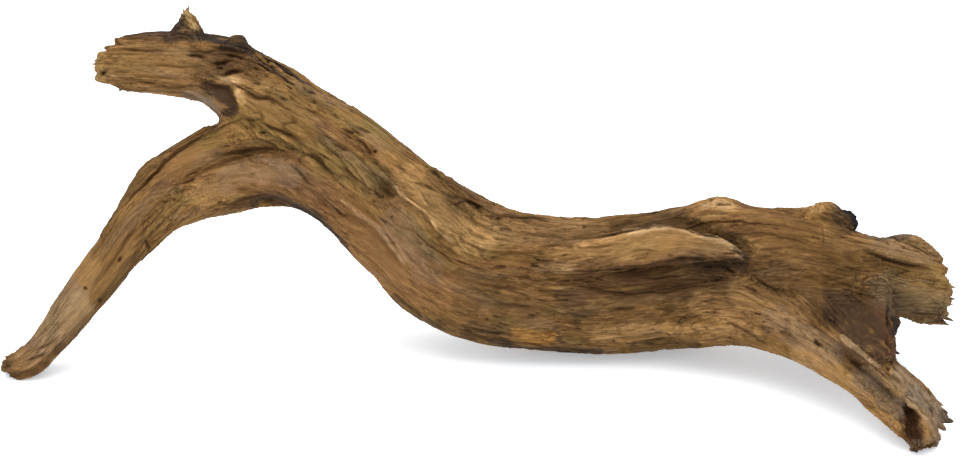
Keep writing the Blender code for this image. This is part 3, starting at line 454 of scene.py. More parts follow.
# Torn ends: a point inside, a point outside, and how far out the wood reaches at each height.
ENDS = [
    ((-190, 150, 39), (-210, 150, 40), [
        (-12.7, -3), (-10.6, -1), (-9, 2), (-7.4, 9), (-6.4, 12), (-4.2, 12.5), (0.5, 12), (5.3, 11.5),
        (7.4, 11), (8.2, 6.5), (10.4, 7.5), (11, 0.5), (13.3, 0.8), (14.3, 1.3), (15.9, 0), (17.5, -1)]),
    ((-240, -6, -30), (-256, -8, -32), [(-6, 8), (-3, 12), (2, 10.5), (6, 5)]),
    ((235, 35, -18), (255, 33, -19), [
        (-22, 3), (-20.7, 10), (-19, 14.5), (-17.5, 11.5), (-15.4, 13.5), (-12.7, 13), (-8.5, 14),
        (-3, 14.3), (0.5, 13.8), (4.2, 10.5), (6.3, 8.5), (9.5, 10.5), (11.6, 7), (14.3, 7.5),
        (18, 5.5), (21.7, 2.4), (25.4, -3), (28, -10)]),
    ((224, -38, -112), (236, -53, -127), [(-9, 16), (-4, 19), (2, 21.5), (7, 22), (12, 21)]),
]

# How the grain runs: x, h, y and how thick the wood is about it.
FLOWS = {
    "upper": [
        (-222, 152, 41, 12), (-196, 151, 40, 13), (-165, 150, 37, 16), (-140, 144, 33, 20),
        (-116, 133, 25, 26), (-90, 117, 17, 30), (-65, 101, 12, 31), (-45, 85, 9, 32),
        (-25, 69, 5, 32), (0, 56, 2, 32), (40, 50, 0, 33), (80, 50, 0, 33), (120, 54, -3, 33),
        (160, 52, -6, 29), (200, 46, -10, 22), (230, 40, -14, 17), (262, 33, -20, 14),
    ],
    "lower": [
        (-268, -16, -33, 9), (-244, -6, -31, 10), (-228, 7, -27, 11), (-204, 37, -15, 14),
        (-179, 68, -1, 16), (-158, 86, 6, 20), (-135, 94, 9, 24), (-110, 92, 9, 28),
        (-85, 82, 7, 30), (-62, 66, 3, 31), (-42, 48, -1, 31), (-20, 33, -3, 31), (10, 24, -4, 31),
        (50, 20, -4, 31), (90, 21, -6, 30), (125, 23, -14, 27), (155, 14, -32, 21),
        (180, 0, -55, 16), (200, -15, -80, 13), (218, -30, -103, 11), (232, -48, -122, 9),
        (242, -64, -138, 9),
    ],
}

# The wood's colours in linear light, and the marks laid on them: stains, painted shade and painted
# highlights. A mark has colour, strength, half width and line.
SHADES = {
    "tan": (0.335, 0.185, 0.068),
    "wood": (0.216, 0.111, 0.0335),
    "brown": (0.112, 0.054, 0.015),
    "umber": (0.066, 0.034, 0.012),
    "rust": (0.070, 0.029, 0.014),
    # The colour of painted shade in the hollows: the crotch of the left fork and the web of the right fork.
    "web": (0.050, 0.026, 0.012),
    "red": (0.090, 0.036, 0.020),
    "redwood": (0.200, 0.094, 0.036),
    # Char, and also the colour of painted shade: under the arch, at the tongue and along the belly's foot.
    "char_and_shade": (0.026, 0.018, 0.013),
    "black": (0.007, 0.006, 0.006),
    "olive": (0.162, 0.113, 0.033),
    "yellow": (0.330, 0.205, 0.070),
    "grey": (0.180, 0.135, 0.095),
    "orange": (0.340, 0.155, 0.035),
    "cream": (0.470, 0.315, 0.165),
}
STAINS_AND_PAINTED_LIGHT = [
    ("brown", 0.35, 22, [(153.5, 58.5), (201.5, 42.5)]),
    ("umber", 0.5, 14, [(0, 26.5), (63.5, 16)]),
    ("umber", 0.3, 14, [(-175, 79.5), (-220, 13)]),
    ("umber", 0.35, 12, [(85, 23.5), (116.5, 30.5)]),
    ("redwood", 0.45, 12, [(-79.5, 77), (-45, 40), (-26.5, 30.5)]),
    ("olive", 0.25, 12, [(206.5, 44.5), (233, 30.5)]),
    ("brown", 0.6, 12, [(85, 18.5), (116.5, 16), (140.5, 10.5)]),
    ("umber", 0.5, 10, [(53, 32), (127, 35)]),
    ("redwood", 0.35, 10, [(-161.5, 98), (-151, 98)]),
    ("redwood", 0.35, 10, [(-111.5, 94.5), (-90, 82)]),
    ("umber", 0.35, 10, [(156.5, 41.5), (185.5, 26.5)]),
    ("umber", 0.2, 10, [(206.5, 46.5), (225, 24)]),
    ("olive", 0.25, 9, [(-124.5, 128.5), (-93, 126)]),
    ("olive", 0.4, 9, [(-29, 71.5), (-16, 64.5), (5.5, 60.5)]),
    ("umber", 0.5, 9, [(-21, 85), (-10.5, 76.5), (-1, 72)]),
    ("redwood", 0.5, 9, [(-222.5, 5.5), (-238.5, -6.5)]),
    ("redwood", 0.25, 9, [(116.5, 71.5), (148.5, 72), (164.5, 69)]),
    ("brown", 0.4, 9, [(169.5, 10.5), (185.5, 2.5), (201.5, -13)]),
    ("char_and_shade", 0.9, 1.8, [(-191, 167), (-162, 167.5)]),
    ("char_and_shade", 0.9, 2.6, [(-165, 166), (-161.5, 169), (-158.5, 175)]),
    ("char_and_shade", 0.9, 2.2, [(-166.5, 165.5), (-156.5, 166), (-144, 165.5)]),
    ("char_and_shade", 0.75, 3, [(-147, 167), (-124, 160.5)]),
    ("umber", 0.9, 5, [(-130.5, 165.5), (-126, 164)]),
    ("red", 0.55, 6, [(-142, 152.5), (-126, 153.5)]),
    ("red", 0.4, 5, [(-175, 165.5), (-165.5, 165.5)]),
    ("grey", 0.4, 1, [(-115.5, 153.5), (-93, 138), (-79.5, 130.5)]),
    # Painted shade along the upper edge of the crotch's recess.
    ("web", 0.9, 1.2, [(-147, 141), (-138, 139)]),
    ("grey", 0.5, 1.8, [(-157, 135.5), (-147, 132.5), (-143, 130), (-140.5, 126)]),
    ("tan", 0.9, 3.5, [(-136, 143.5), (-131.5, 143.5), (-127, 142)]),
    ("tan", 0.6, 3.5, [(-130, 139), (-128.5, 134.5)]),
    ("tan", 0.35, 6, [(-122, 141), (-95.5, 131.5)]),
    ("olive", 0.3, 5, [(-82, 129.5), (-63.5, 121), (-45, 110)]),
    ("olive", 0.4, 8, [(-68, 94.5), (-57, 91)]),
    ("char_and_shade", 0.35, 7, [(-52.5, 87), (-46.5, 80.5)]),
    ("olive", 0.45, 1.4, [(-27.5, 98), (-23.5, 96.5), (-19, 93)]),
    ("olive", 0.3, 2, [(-59.5, 120.5), (-50.5, 115)]),
    # Painted shade in the channel above the tongue.
    ("umber", 0.65, 6, [(9, 64.5), (26.5, 64.5), (55.5, 62)]),
    # Painted shade between the top rim and the tongue.
    ("umber", 0.4, 7, [(63.5, 68), (106, 70)]),
    # Painted shade above the tongue's tip.
    ("umber", 0.65, 4.5, [(106, 67.5), (124.5, 62), (133.5, 58.5), (139, 54)]),
    ("tan", 0.35, 7, [(42.5, 50), (106, 56), (131.5, 51)]),
    # Painted highlight along the tongue's top edge.
    ("tan", 0.6, 1.6, [(50.5, 55.5), (66, 58.5), (85, 62.5), (100.5, 63), (116.5, 58.5)]),
    # Painted shade in the recess under the tongue.
    ("rust", 0.45, 8, [(58.5, 37), (116.5, 42.5), (140.5, 41.5)]),
    ("tan", 0.45, 4, [(63.5, 7.5), (90, 9.5), (127, 9)]),
    ("orange", 0.55, 3.2, [(20, 8.5), (27.5, 7), (36, 6.5)]),
    ("umber", 0.7, 4, [(-5.5, 10.5), (13, 8)]),
    ("char_and_shade", 0.55, 2.4, [(-44.5, 27.5), (-36, 20), (-21, 11.5)]),
    ("umber", 0.6, 4, [(-21, 11.5), (-5.5, 5.5)]),
    # Painted shade on the belly's underside, just above the floor.
    ("umber", 0.7, 3, [(82.5, 2), (95.5, 1.5), (114, 2)]),
    ("tan", 0.45, 6, [(-148.5, 82.5), (-115.5, 94.5)]),
    # Painted shade on the underside of the arch.
    ("char_and_shade", 0.7, 2.2, [(-119, 79), (-114.5, 80.5), (-108.5, 81), (-103, 79), (-95, 75.5), (-86, 69),
        (-77, 60.5)]),
    ("umber", 0.45, 6, [(-135, 103.5), (-122, 105.5), (-103.5, 106)]),
    ("umber", 0.2, 6, [(-95.5, 106), (-77, 90)]),
    ("umber", 0.4, 2, [(-186.5, 81.5), (-170.5, 102.5), (-165.5, 107)]),
    ("tan", 0.45, 8, [(-212, 42.5), (-222.5, 21)]),
    ("yellow", 0.5, 7, [(-214, 21), (-228, 9.5)]),
    ("char_and_shade", 0.6, 1.5, [(-250.5, -9), (-249.5, -6.5), (-247, -3.5)]),
    ("umber", 0.5, 1.5, [(-247, -11.5), (-240.5, -12.5), (-234.5, -11.5)]),
    ("umber", 0.5, 4, [(-205.5, 15), (-217.5, 2.5), (-228, -6.5)]),
    ("umber", 0.5, 4, [(-179, 49), (-188, 34.5), (-197, 24)]),
    ("tan", 0.6, 6, [(123, 78.5), (130.5, 78)]),
    ("tan", 0.35, 6, [(143, 54), (165.5, 46.5)]),
    ("tan", 0.5, 6, [(139, 30.5), (167, 22.5)]),
    ("tan", 0.55, 5, [(116.5, 25), (143, 12)]),
    ("tan", 0.35, 5, [(140, 27), (182.5, 2.5)]),
    ("tan", 0.5, 6, [(172, -2.5), (193.5, -16), (217.5, -37)]),
    ("tan", 0.5, 4, [(192, 8), (209.5, -7), (230.5, -29), (239.5, -42.5)]),
    ("umber", 0.5, 4, [(188, 2.5), (225, -33)]),
    # Painted shade in the hollow of the web.
    ("web", 0.95, 11, [(196, 24.5), (209, 22.5), (205.5, 15), (213, 2.5)]),
    ("rust", 0.6, 5, [(214.5, 24), (217.5, 2.5)]),
    ("rust", 0.5, 6, [(196, 2.5), (208, -4)]),
    # Painted shade in the hole of the right leg.
    ("rust", 0.9, 4.5, [(227, -27.5), (231, -51)]),
    ("grey", 0.6, 4.5, [(222.5, -15), (244, -36)]),
    ("char_and_shade", 0.7, 2.6, [(246.5, -34), (250, -39)]),
    ("grey", 0.5, 5, [(232, -54), (239.5, -52)]),
    # Painted shade in the web's hollow by the notch.
    ("web", 0.9, 3, [(217.5, 26.5), (219.5, 15)]),
    ("umber", 0.3, 3, [(227, 17.5), (236, 15), (246.5, 15.5)]),
    ("tan", 0.5, 7, [(212, 58.5), (225, 58.5), (236, 53)]),
    ("tan", 0.4, 6, [(230.5, 38), (244, 34.5), (248, 32)]),
    ("tan", 0.5, 6, [(188, 61), (201.5, 57)]),
    ("char_and_shade", 0.7, 2, [(199.5, 64), (209.5, 61.5), (218.5, 61), (227, 62.5)]),
    ("tan", 0.7, 4, [(176, 77.5), (183.5, 78.5), (189.5, 76.5)]),
    ("black", 1, 4.5, [(192, 72), (199, 67)]),
    ("umber", 0.7, 5, [(186.5, 72), (192, 65.5)]),
    ("umber", 0.55, 4.5, [(225, 23.5), (236, 19.5), (247, 17.5)]),
    # Painted shade in the recess of the crotch.
    ("web", 1, 3, [(-138.5, 138.5), (-134.5, 135.5), (-132, 127)]),
    ("black", 0.6, 0.5, [(-118, 158), (-108.5, 152), (-96.5, 143.5)]),
    ("black", 0.7, 0.6, [(-117.5, 155), (-106, 148), (-89, 136.5)]),
    ("char_and_shade", 0.7, 0.6, [(-123, 156.5), (-112.5, 149), (-102, 142.5)]),
    ("tan", 0.8, 0.6, [(-119, 157.5), (-94, 139.5)]),
    ("char_and_shade", 0.85, 1.8, [(-142.5, 165), (-130.5, 162), (-121, 158)]),
    ("black", 0.8, 0.8, [(-137.5, 161), (-124, 157.5)]),
    ("grey", 0.25, 1.2, [(-98, 144), (-90, 139), (-79.5, 133.5), (-71.5, 129)]),
    ("char_and_shade", 0.6, 1.2, [(-155.5, 169.5), (-155, 174), (-155.5, 178)]),
    ("yellow", 0.7, 2, [(-156, 180), (-152.5, 173)]),
    # Painted shade behind the tongue's top edge.
    ("umber", 0.6, 3.5, [(42.5, 60.5), (58.5, 62), (85, 68.5), (98, 69)]),
    ("char_and_shade", 0.8, 1.6, [(219, 16), (221, 12), (219, 9.5)]),
    ("tan", 0.5, 3, [(237.5, -37), (238.5, -46.5), (237.5, -53)]),
    # Painted shade on the underside of the arch, softer.
    ("umber", 0.4, 4, [(-129.5, 79), (-119, 81.5), (-108.5, 81.5), (-95.5, 77), (-86, 71)]),
    ("yellow", 0.55, 2.2, [(-201, 159), (-202, 155), (-200.5, 143)]),
    ("yellow", 0.4, 2, [(238.5, 46.5), (244.5, 37), (247, 20)]),
    ("tan", 0.45, 2, [(-175, 136), (-159, 133.5), (-146, 129.5)]),
    ("umber", 0.4, 15, [(120, 45.5), (164.5, 35), (183, 26.5)]),
    ("brown", 0.5, 14, [(156.5, 58.5), (185.5, 46.5), (201.5, 40)]),
    ("tan", 0.3, 11, [(-198, 153.5), (-151, 150.5)]),
    ("umber", 0.45, 8, [(-146, 150.5), (-122, 149.5)]),
    ("grey", 0.35, 7, [(-217.5, 30.5), (-238.5, -1)]),
    # Painted shade beyond the tongue's tip.
    ("umber", 0.8, 3, [(135.5, 58), (139.5, 54.5), (140, 51)]),
    ("umber", 0.6, 4, [(141, 46.5), (153.5, 43.5), (164.5, 39)]),
    ("grey", 0.5, 3.5, [(232, -24), (241.5, -40), (242.5, -45.5)]),
    ("tan", 0.55, 8, [(-37, 87.5), (-26.5, 73), (-16, 64.5), (0, 60.5)]),
    ("tan", 0.35, 4.5, [(0, 62), (63.5, 64.5)]),
    ("char_and_shade", 0.6, 1, [(-127, 165.5), (-92, 140.5)]),
    ("brown", 0.4, 10, [(177.5, 46.5), (193.5, 40), (212, 37)]),
    ("umber", 0.3, 6, [(192, 43.5), (208, 32)]),
    # Painted shade on the underside of the arch, towards the belly.
    ("char_and_shade", 0.75, 2, [(-97.5, 75.5), (-87, 69.5), (-81.5, 65), (-71.5, 54.5)]),
    ("redwood", 0.3, 9, [(-51.5, 58.5), (-26.5, 30.5)]),
    ("grey", 0.25, 7, [(-45, 66), (-26.5, 42.5)]),
    ("grey", 0.35, 2.6, [(-153.5, 134.5), (-148.5, 133.5), (-143, 130.5), (-139.5, 126)]),
    # Painted shade: a dark line along the crotch's recess.
    ("web", 0.8, 1, [(-153.5, 140), (-148.5, 140.5), (-143, 140)]),
    ("tan", 0.5, 2, [(-129.5, 144), (-117.5, 138)]),
    ("grey", 0.3, 6, [(-132.5, 91), (-115.5, 95.5), (-100.5, 92)]),
    ("redwood", 0.3, 8, [(-146, 87.5), (-130, 91), (-116.5, 89)]),
    # Painted shade where the arch's underside begins.
    ("umber", 0.45, 2.4, [(-146, 72), (-129.5, 77.5), (-121, 79.5)]),
    # Painted shade in the recess of the crotch.
    ("web", 1, 3.2, [(-144.5, 139.5), (-140.5, 138.5), (-136.5, 135), (-134, 131.5), (-132.5, 127)]),
    # Painted shade in the hollow of the web.
    ("web", 0.8, 9, [(192, 22.5), (202.5, 6.5)]),
    ("umber", 0.35, 8, [(214.5, 32), (241, 22.5)]),
    # Painted shade in the notch of the tongue's tip.
    ("char_and_shade", 0.7, 1.2, [(133, 52.5), (136.5, 52), (140, 50)]),
    # Painted shade in the recess under the tongue's tip.
    ("char_and_shade", 0.6, 3, [(116.5, 46.5), (127, 45.5), (139, 45.5)]),
    ("tan", 0.35, 5, [(-213, 24), (-230.5, 4)]),
    ("tan", 0.4, 5, [(-244, -5.5), (-230.5, -1)]),
    ("grey", 0.4, 5, [(202.5, -15), (220.5, -30.5)]),
    ("cream", 0.36, 1.7, [(-135.5, 143.5), (-132, 144), (-128.5, 142.5)]),
    ("olive", 0.15, 8, [(216, 34), (228, 28.5), (239.5, 25.5)]),
    # Painted shadow: a dark line along the belly's lowest edge, where it meets the floor.
    ("char_and_shade", 0.75, 1.8, [(6.5, 3.5), (34.5, 0), (63.5, -1.5)]),
    ("grey", 0.2, 8, [(214.5, 33), (228, 27.5), (241, 23.5)]),
    ("umber", 0.3, 7, [(-146, 150.5), (-136.5, 150.5), (-124.5, 147.5)]),
    ("brown", 0.3, 8, [(-114, 134.5), (-100.5, 130.5), (-87.5, 125)]),
    ("grey", 0.3, 6, [(156.5, 15), (169.5, 7.5), (185.5, -1)]),
    ("cream", 0.3, 1.3, [(-130, 139), (-127.5, 135)]),
    # Painted highlight along a pale ridge of the trunk.
    ("cream", 0.26, 1, [(-52, 93.5), (-41.5, 82.5), (-29.5, 73), (-25, 67), (-21, 62), (-15, 58.5)]),
    # Painted highlight along a pale ridge of the trunk.
    ("cream", 0.26, 1, [(-72.5, 79.5), (-65.5, 72.5), (-54.5, 64.5), (-46.5, 54), (-40.5, 46.5)]),
    # Painted highlight along the tongue's top edge.
    ("cream", 0.38, 1.2, [(138.5, 49), (132, 55.5), (121, 58.5), (105.5, 63.5), (94, 64.5), (76.5, 61.5)]),
    ("cream", 0.5, 1.3, [(192, 7), (208, -7), (224, -23), (236.5, -36)]),
    ("cream", 0.4, 2, [(119, 76.5), (125, 78), (131.5, 77)]),
    ("cream", 0.4, 1.6, [(-156.5, 179), (-153.5, 175), (-150.5, 170.5)]),
    ("grey", 0.25, 6, [(211, 57), (225, 57), (236.5, 51)]),
    ("grey", 0.3, 6, [(-212, 23.5), (-222.5, 12.5), (-230.5, 3)]),
]

# The left and the right fork: where they part, and the outline's ends of both cuts.
FORKS = {
    "left": {"crotch": (-136, 122), "upper": (-119, 162), "lower": (-130, 60)},
    "right": {"crotch": (227, 4), "upper": (203, 70), "lower": (202, -34)},
}
# Where the trunk is parted into its visible pieces, by x, and their names from the left.
TRUNK_CUTS = (-75, 0, 90, 158)
TRUNK_PIECES = (
    "trunk_upper_wood", "trunk_bend_wood", "trunk_middle_wood", "trunk_end_wood", "trunk_fork_wood",
)

# Seeds: how far apart those of the strands are, and the first ones of the finer parts.
SEED_STEP = 10
FIRST_SEED = {"fine strands": 900, "splinters": 1000, "fringe": 1100}

# Splinters: a share of the way to the tip, and the half height and half depth there as parts of
# the root's radius.
SPLINTER_TAPER = ((0, 1, 1), (0.5, 0.75, 0.6), (0.85, 0.5, 0.35), (1, 0.12, 0.12))
# The fringe of every torn end: how many fibres, how far they stay off its lower and its upper edge,
# how far in they start, how far they lie in front of and behind its middle, how far they stand out,
# how much they point astray, and their radius.
FRINGE_COUNT = 16
FRINGE_INSET = (1.5, 3)
FRINGE_ROOT = 4
FRINGE_DEPTH = 5
FRINGE_REACH = (0.5, 2.6)
FRINGE_ASTRAY = (0.3, 0.8, 1.0)
FRINGE_RADIUS = (0.5, 0.9)

# The torn ends: how far fibres reach, how wide they are and their seeds, how far the sides fall
# back behind the middle, and how much of what stands out beyond the tear is kept.
FIBRES = ((1.2, 4.5, 61), (0.9, 1.7, 71))
FIBRE_DRIFT = 0.06
SIDES_FALL_BACK = 5
SIDES_RAGGED = (4, 7, 81)
SIDES_FROM_MIDDLE = (4, 16)
END_REACH = 30
STUMP_KEPT = 0.08

# What brings noise to mostly between -1 and 1.
NOISE_GAIN = 1.6
# The patterns of the grain: length along it and width across it in millimetres, and seed.
PATTERNS = {
    "layers": (120, 11, 21),
    "flutes": (120, 13, 22),
    "ridges": (44, 4.6, 23),
    "fibres": (20, 1.9, 24),
    "threads": (9, 1.0, 25),
    "open wood": (50, 20, 26),
    "long splits": (60, 6.5, 27),
    "short splits": (32, 4, 28),
    "pits": (6, 2.2, 30),
    "pitted wood": (40, 18, 31),
    "chips": (13, 3.4, 32),
    "dashes": (7, 0.9, 33),
    "dashed wood": (30, 11, 34),
    "flecks": (5, 0.9, 35),
    "broken rims": (22, 6, 36),
    "furrows": (150, 20, 37),
    "broad tone": (90, 22, 41),
    "streaky tone": (34, 7, 42),
    "fine tone": (14, 2.4, 43),
    "ragged": (15, 4, 44),
    "finely ragged": (6, 1.7, 45),
    "streaks": (24, 2.0, 46),
    "fine streaks": (9, 1.1, 47),
    "warmth": (30, 10, 48),
    "fine warmth": (11, 3.5, 49),
    "grey wood": (26, 9, 50),
}
# Spots: where the noise of their pattern starts to show them and where they are full.
SPOTS = {
    "open wood": (0.0, 0.35),
    "pits": (0.42, 0.6),
    "pitted wood": (0.05, 0.35),
    "chips": (0.3, 0.36),
    "dashes": (0.3, 0.42),
    "dashed wood": (-0.2, 0.15),
    "flecks": (0.36, 0.5),
    "broken rims": (-0.1, 0.3),
    "grey wood": (0.1, 0.5),
}
# Crests, with round valleys between them: how high they are and how steeply they fall.
CRESTS = {
    "flutes": (0.45, 1.5),
    "ridges": (0.4, 1.6),
    "fibres": (0.4, 1.6),
    "long splits": (1, 12.5),
    "short splits": (1, 12.5),
    "furrows": (0, 1),
}
# How far each pattern lifts or sinks the surface, in millimetres.
LIFT = {
    "steps": 0.4,
    "flutes": 0.75,
    "ridges": 0.45,
    "fibres": 0.3,
    "threads": 0.16,
    "chips": -0.45,
    "flecks": 0.25,
    "cracks": -0.8,
    "pits": -0.7,
    "dashes": -0.4,
    "furrows": -2.6,
}
# How much the patterns darken the wood, with dark cracks, pits and dashes and with painted shade in the
# valleys, in the furrow beds and under the layers' steps: the first add up, the others cover what is
# lighter.
DARKEN = {"cracks": 0.6, "pits": 0.65, "valleys": 0.34}
COVER = {"dashes": 0.52, "undersides": 0.5, "furrow beds": 0.7}
# How much they make it pale: painted highlights on the crests and on the layers' rims, and pale flecks of
# wear.
WEAR_AND_HIGHLIGHT = {"edges": 1, "flecks": 1, "rims": 1.3}
# Where valleys, edges and furrows begin and where they are full.
VALLEY_RANGE = (0, 0.7)
EDGE_RANGE = (0.1, 0.5)
FURROW_RANGE = (-0.13, 0)
FURROW_BED = (0.55, 1)
# Layers of wood: how many noise makes of one rise, and where in a layer its step, the painted shade under
# it and its pale rim, a painted highlight, begin and end.
LAYER_COUNT = 4.0
LAYER_STEP = (0.4, 0.6)
LAYER_UNDER = (0.26, 0.4, 0.4, 0.52)
LAYER_RIM = (0.54, 0.62, 0.64, 0.84)

# Sums of patterns, with their weights.
VALLEYS = {"ridges": 1, "fibres": 0.6, "flutes": 0.3}
EDGES = {"ridges": 0.6, "fibres": 0.6, "flutes": 0.3}
TONE = {"broad tone": 1, "streaky tone": 0.6, "fine tone": 0.5}
WARMTH = {"warmth": 1, "fine warmth": 0.6}
RAGGED = {"ragged": 0.8, "finely ragged": 0.5}
STREAKS = {"streaks": 0.13, "fine streaks": 0.15}

# Where the two flows of the grain meet, by how much farther out of the one wood than of the other.
FLOWS_MEET = (-0.25, 0.25)
# The share that a flow needs at a point to be reckoned there.
LEAST_SHARE = 0.01
# Waves of the grain: their length and widths, their reach and their two seeds.
WAVE_SIZE = (42, 26, 26)
WAVE_REACH = 3.2
WAVE_SEEDS = (5, 6)
# How the readings of the front waver, so that no line is drawn straight: size, seed and reach.
WAVERS = ((8, 51, 0.8), (2.5, 53, 0.25))
# Lumps of the crumbled places: size, seed and weight.
LUMPS = ((2.6, 57, 1.0), (1.2, 58, 0.5))
# Stains, painted shade and painted highlights: how much wider than their stroke they begin, how flat they
# are and where they show and are full, and the size, the two seeds and the reach of what makes their edges
# ragged.
MARK_WIDTH = 1.5
MARK_FLAT = 0.6
MARK_RANGE = (0.1, 0.85)
MARK_SHIFT = (9, (55, 56), 0.35)

# How far a surface has to face the viewer, from where each kind of work begins to where it is full.
CARVED_SIDE = (-0.05, 0.3)
WORKED_SIDE = (-0.1, 0.2)
MARKED_SIDE = (-0.6, -0.1)
CRUMBLED_SIDE = (-0.7, -0.3)
HIDDEN_SIDE = (0.0, 0.4)

# Strokes: step along them, how full their ends are and how round their section is. A ledge's painted shade
# is wider than its drop, and both begin softly at its edge.
STROKE_STEP = 3.0
STROKE_END = 0.25
STROKE_ROUND = 1.3
SHADE_WIDTH = 1.5
DROP_EDGE = 0.9
SHADE_EDGE = 0.5
# How much wider than read a cut is made, in millimetres, so that the finished surface can hold it.
CUT_MORE = 0.3

# Colour: how the tone of the wood and its red, olive and grey places follow their patterns.
LEAST_TONE = 0.25
TONE_RANGE = (-0.75, 0.7)
WARM_SHARE = 0.36
WARM_RANGE = (0.1, 0.7)
GREY_SHARE = 0.2
# What pale wood gains, where it is worn and where highlights are painted, what the red, green and blue of
# darkened wood lose, in painted shade and in cracks, and how much more the darkest places lose.
WEAR_AND_HIGHLIGHT_SHARE = 0.6
PALE_GAIN = 0.48
PALE_TINGE = (0.022, 0.018, 0.011)
SHADE_AND_CRACK_LOSS = (0.77, 0.815, 0.87)
DEEPEST_DARK_LOSS = 0.1
DEEP_RANGE = (0.6, 0.9)
# How much of the dark, that is painted shade and dark marks, of the pale, that is wear and painted
# highlights, of the streaky wood and of the finest patterns a smooth place hides.
SMOOTH_HIDES = {"dark": 0.8, "wear_and_highlight": 0.9, "streaks": 0.7, "finest": 0.75}

# The finest patterns, made by the material: length, width, detail and roughness of the noise.
FINEST = {
    "streaks": (11, 1.4, 4, 0.6),
    "threads": (8, 0.55, 3, 0.7),
    "pores": (4, 0.45, 2, 0.6),
    "flecks": (5, 0.8, 1, 0.6),
    "splits": (26, 2.2, 2, 0.6),
    "split wood": (22, 5, 1, 0.6),
}
# How they change the light of the wood: from two values of the noise to two strengths.
LIGHT = {
    "streaks": (0.3, 0.7, 0.82, 1.18),
    "threads": (0.3, 0.7, 0.82, 1.18),
    "pores": (0.3, 0.42, 0.58, 1.0),
    "flecks": (0.62, 0.7, 1.0, 1.4),
    "splits": (0.0, 1.0, 1.0, 0.45),
}
# Hairline splits: how near the middle of their noise they show, and which wood has any.
HAIRLINE = (0.0, 0.017, 1.0, 0.0)
SPLIT_WOOD = (0.5, 0.6, 0.0, 1.0)
# How much the finest patterns lift the surface, how strongly that shows from rough to smooth wood,
# how high they are, in metres, and how matt the streaks are.
RISE = {"pores": 0.5, "threads": 0.7, "streaks": 1.0, "splits": -0.5}
BUMP = (0.0, 1.0, 0.8, 0.2)
BUMP_HEIGHT = 0.0007
MATT = (0.3, 0.7, 0.9, 0.7)


def viewer():
    """Where the readings are seen from, and the view's up and forward directions."""
    up = np.array([0, math.sin(LOOK_DOWN), math.cos(LOOK_DOWN)])
    forward = np.array([0, math.cos(LOOK_DOWN), -math.sin(LOOK_DOWN)])
    return up * SEEN_HEIGHT - forward * SEEN_FROM, up, forward


def place(readings):
    """Rows of x, h and y as points of the room."""
    readings = np.asarray(readings, float)
    eye, up, forward = viewer()
    ray = up * (readings[:, 1:2] - SEEN_HEIGHT) + forward * SEEN_FROM
    ray[:, 0] += readings[:, 0]
    reach = (readings[:, 2] - eye[1]) / ray[:, 1]
    return eye + ray * reach[:, None]


def seen(points):
    """The x and h that points of the room are seen at."""
    eye, up, forward = viewer()
    offset = points - eye
    scale = SEEN_FROM / (offset @ forward)
    return np.stack([offset[:, 0] * scale, SEEN_HEIGHT + (offset @ up) * scale], axis=1)


def scattered(corners, seed):
    """A well mixed whole number for each corner of the noise's grid."""
    word = 0xFFFFFFFF
    key = corners @ np.array([73856093, 19349663, 83492791]) + seed * 26544357
    key = (key ^ (key >> 13)) * 1274126177 & word
    key = (key ^ (key >> 16)) * 73244475 & word
    return key ^ (key >> 15)


def noise(points, seed):
    """Smooth noise, mostly between -1 and 1, the same for the same seed."""
    cell = np.floor(points).astype(np.int64)
    part = points - cell
    fade = part**3 * (part * (part * 6 - 15) + 10)
    total = np.zeros(len(points))
    for corner in np.ndindex(2, 2, 2):
        key = scattered(cell + corner, seed)
        way = np.stack([key & 1023, key >> 10 & 1023, key >> 20 & 1023], axis=1) / 511.5 - 1
        weight = np.prod(np.where(corner, fade, 1 - fade), axis=1)
        total += weight * np.einsum("ij,ij->i", way, part - corner)
    return total * NOISE_GAIN


def noise_pair(points, seeds):
    """Noise of two seeds, side by side."""
    return np.stack([noise(points, seed) for seed in seeds], axis=1)


def unit(vectors):
    return vectors / np.linalg.norm(vectors, axis=-1, keepdims=True)


def ramp(values, low, high):
    """0 below low, 1 above high, with a soft rise between them."""
    t = np.clip((values - low) / (high - low), 0, 1)
    return t * t * (3 - 2 * t)


def smooth_rows(rows, step):
    """Rows of a Catmull-Rom curve through the given rows, about every step along it."""
    ends = np.vstack([2 * rows[0] - rows[1], rows, 2 * rows[-1] - rows[-2]])
    found = []
    for a, b, c, d in zip(ends, ends[1:], ends[2:], ends[3:]):
        count = max(2, math.ceil(np.linalg.norm((c - b)[:3]) / step))
        t = np.linspace(0, 1, count, endpoint=False)[:, None]
        bend = 2 * a - 5 * b + 4 * c - d
        found.append(0.5 * (2 * b + (c - a) * t + bend * t**2 + (3 * b - a - 3 * c + d) * t**3))
    return np.vstack([*found, rows[-1:]])


def travel(line):
    """How far along a line each of its points lies."""
    return np.r_[0, np.cumsum(np.linalg.norm(np.diff(line, axis=0), axis=1))]


def frames_of(line):
    """Along, depth and upright directions at each point of a line."""
    along = unit(np.gradient(line, axis=0))
    depth = unit(np.array([0.0, 1.0, 0.0]) - along * along[:, 1:2])
    return along, depth, np.cross(along, depth)


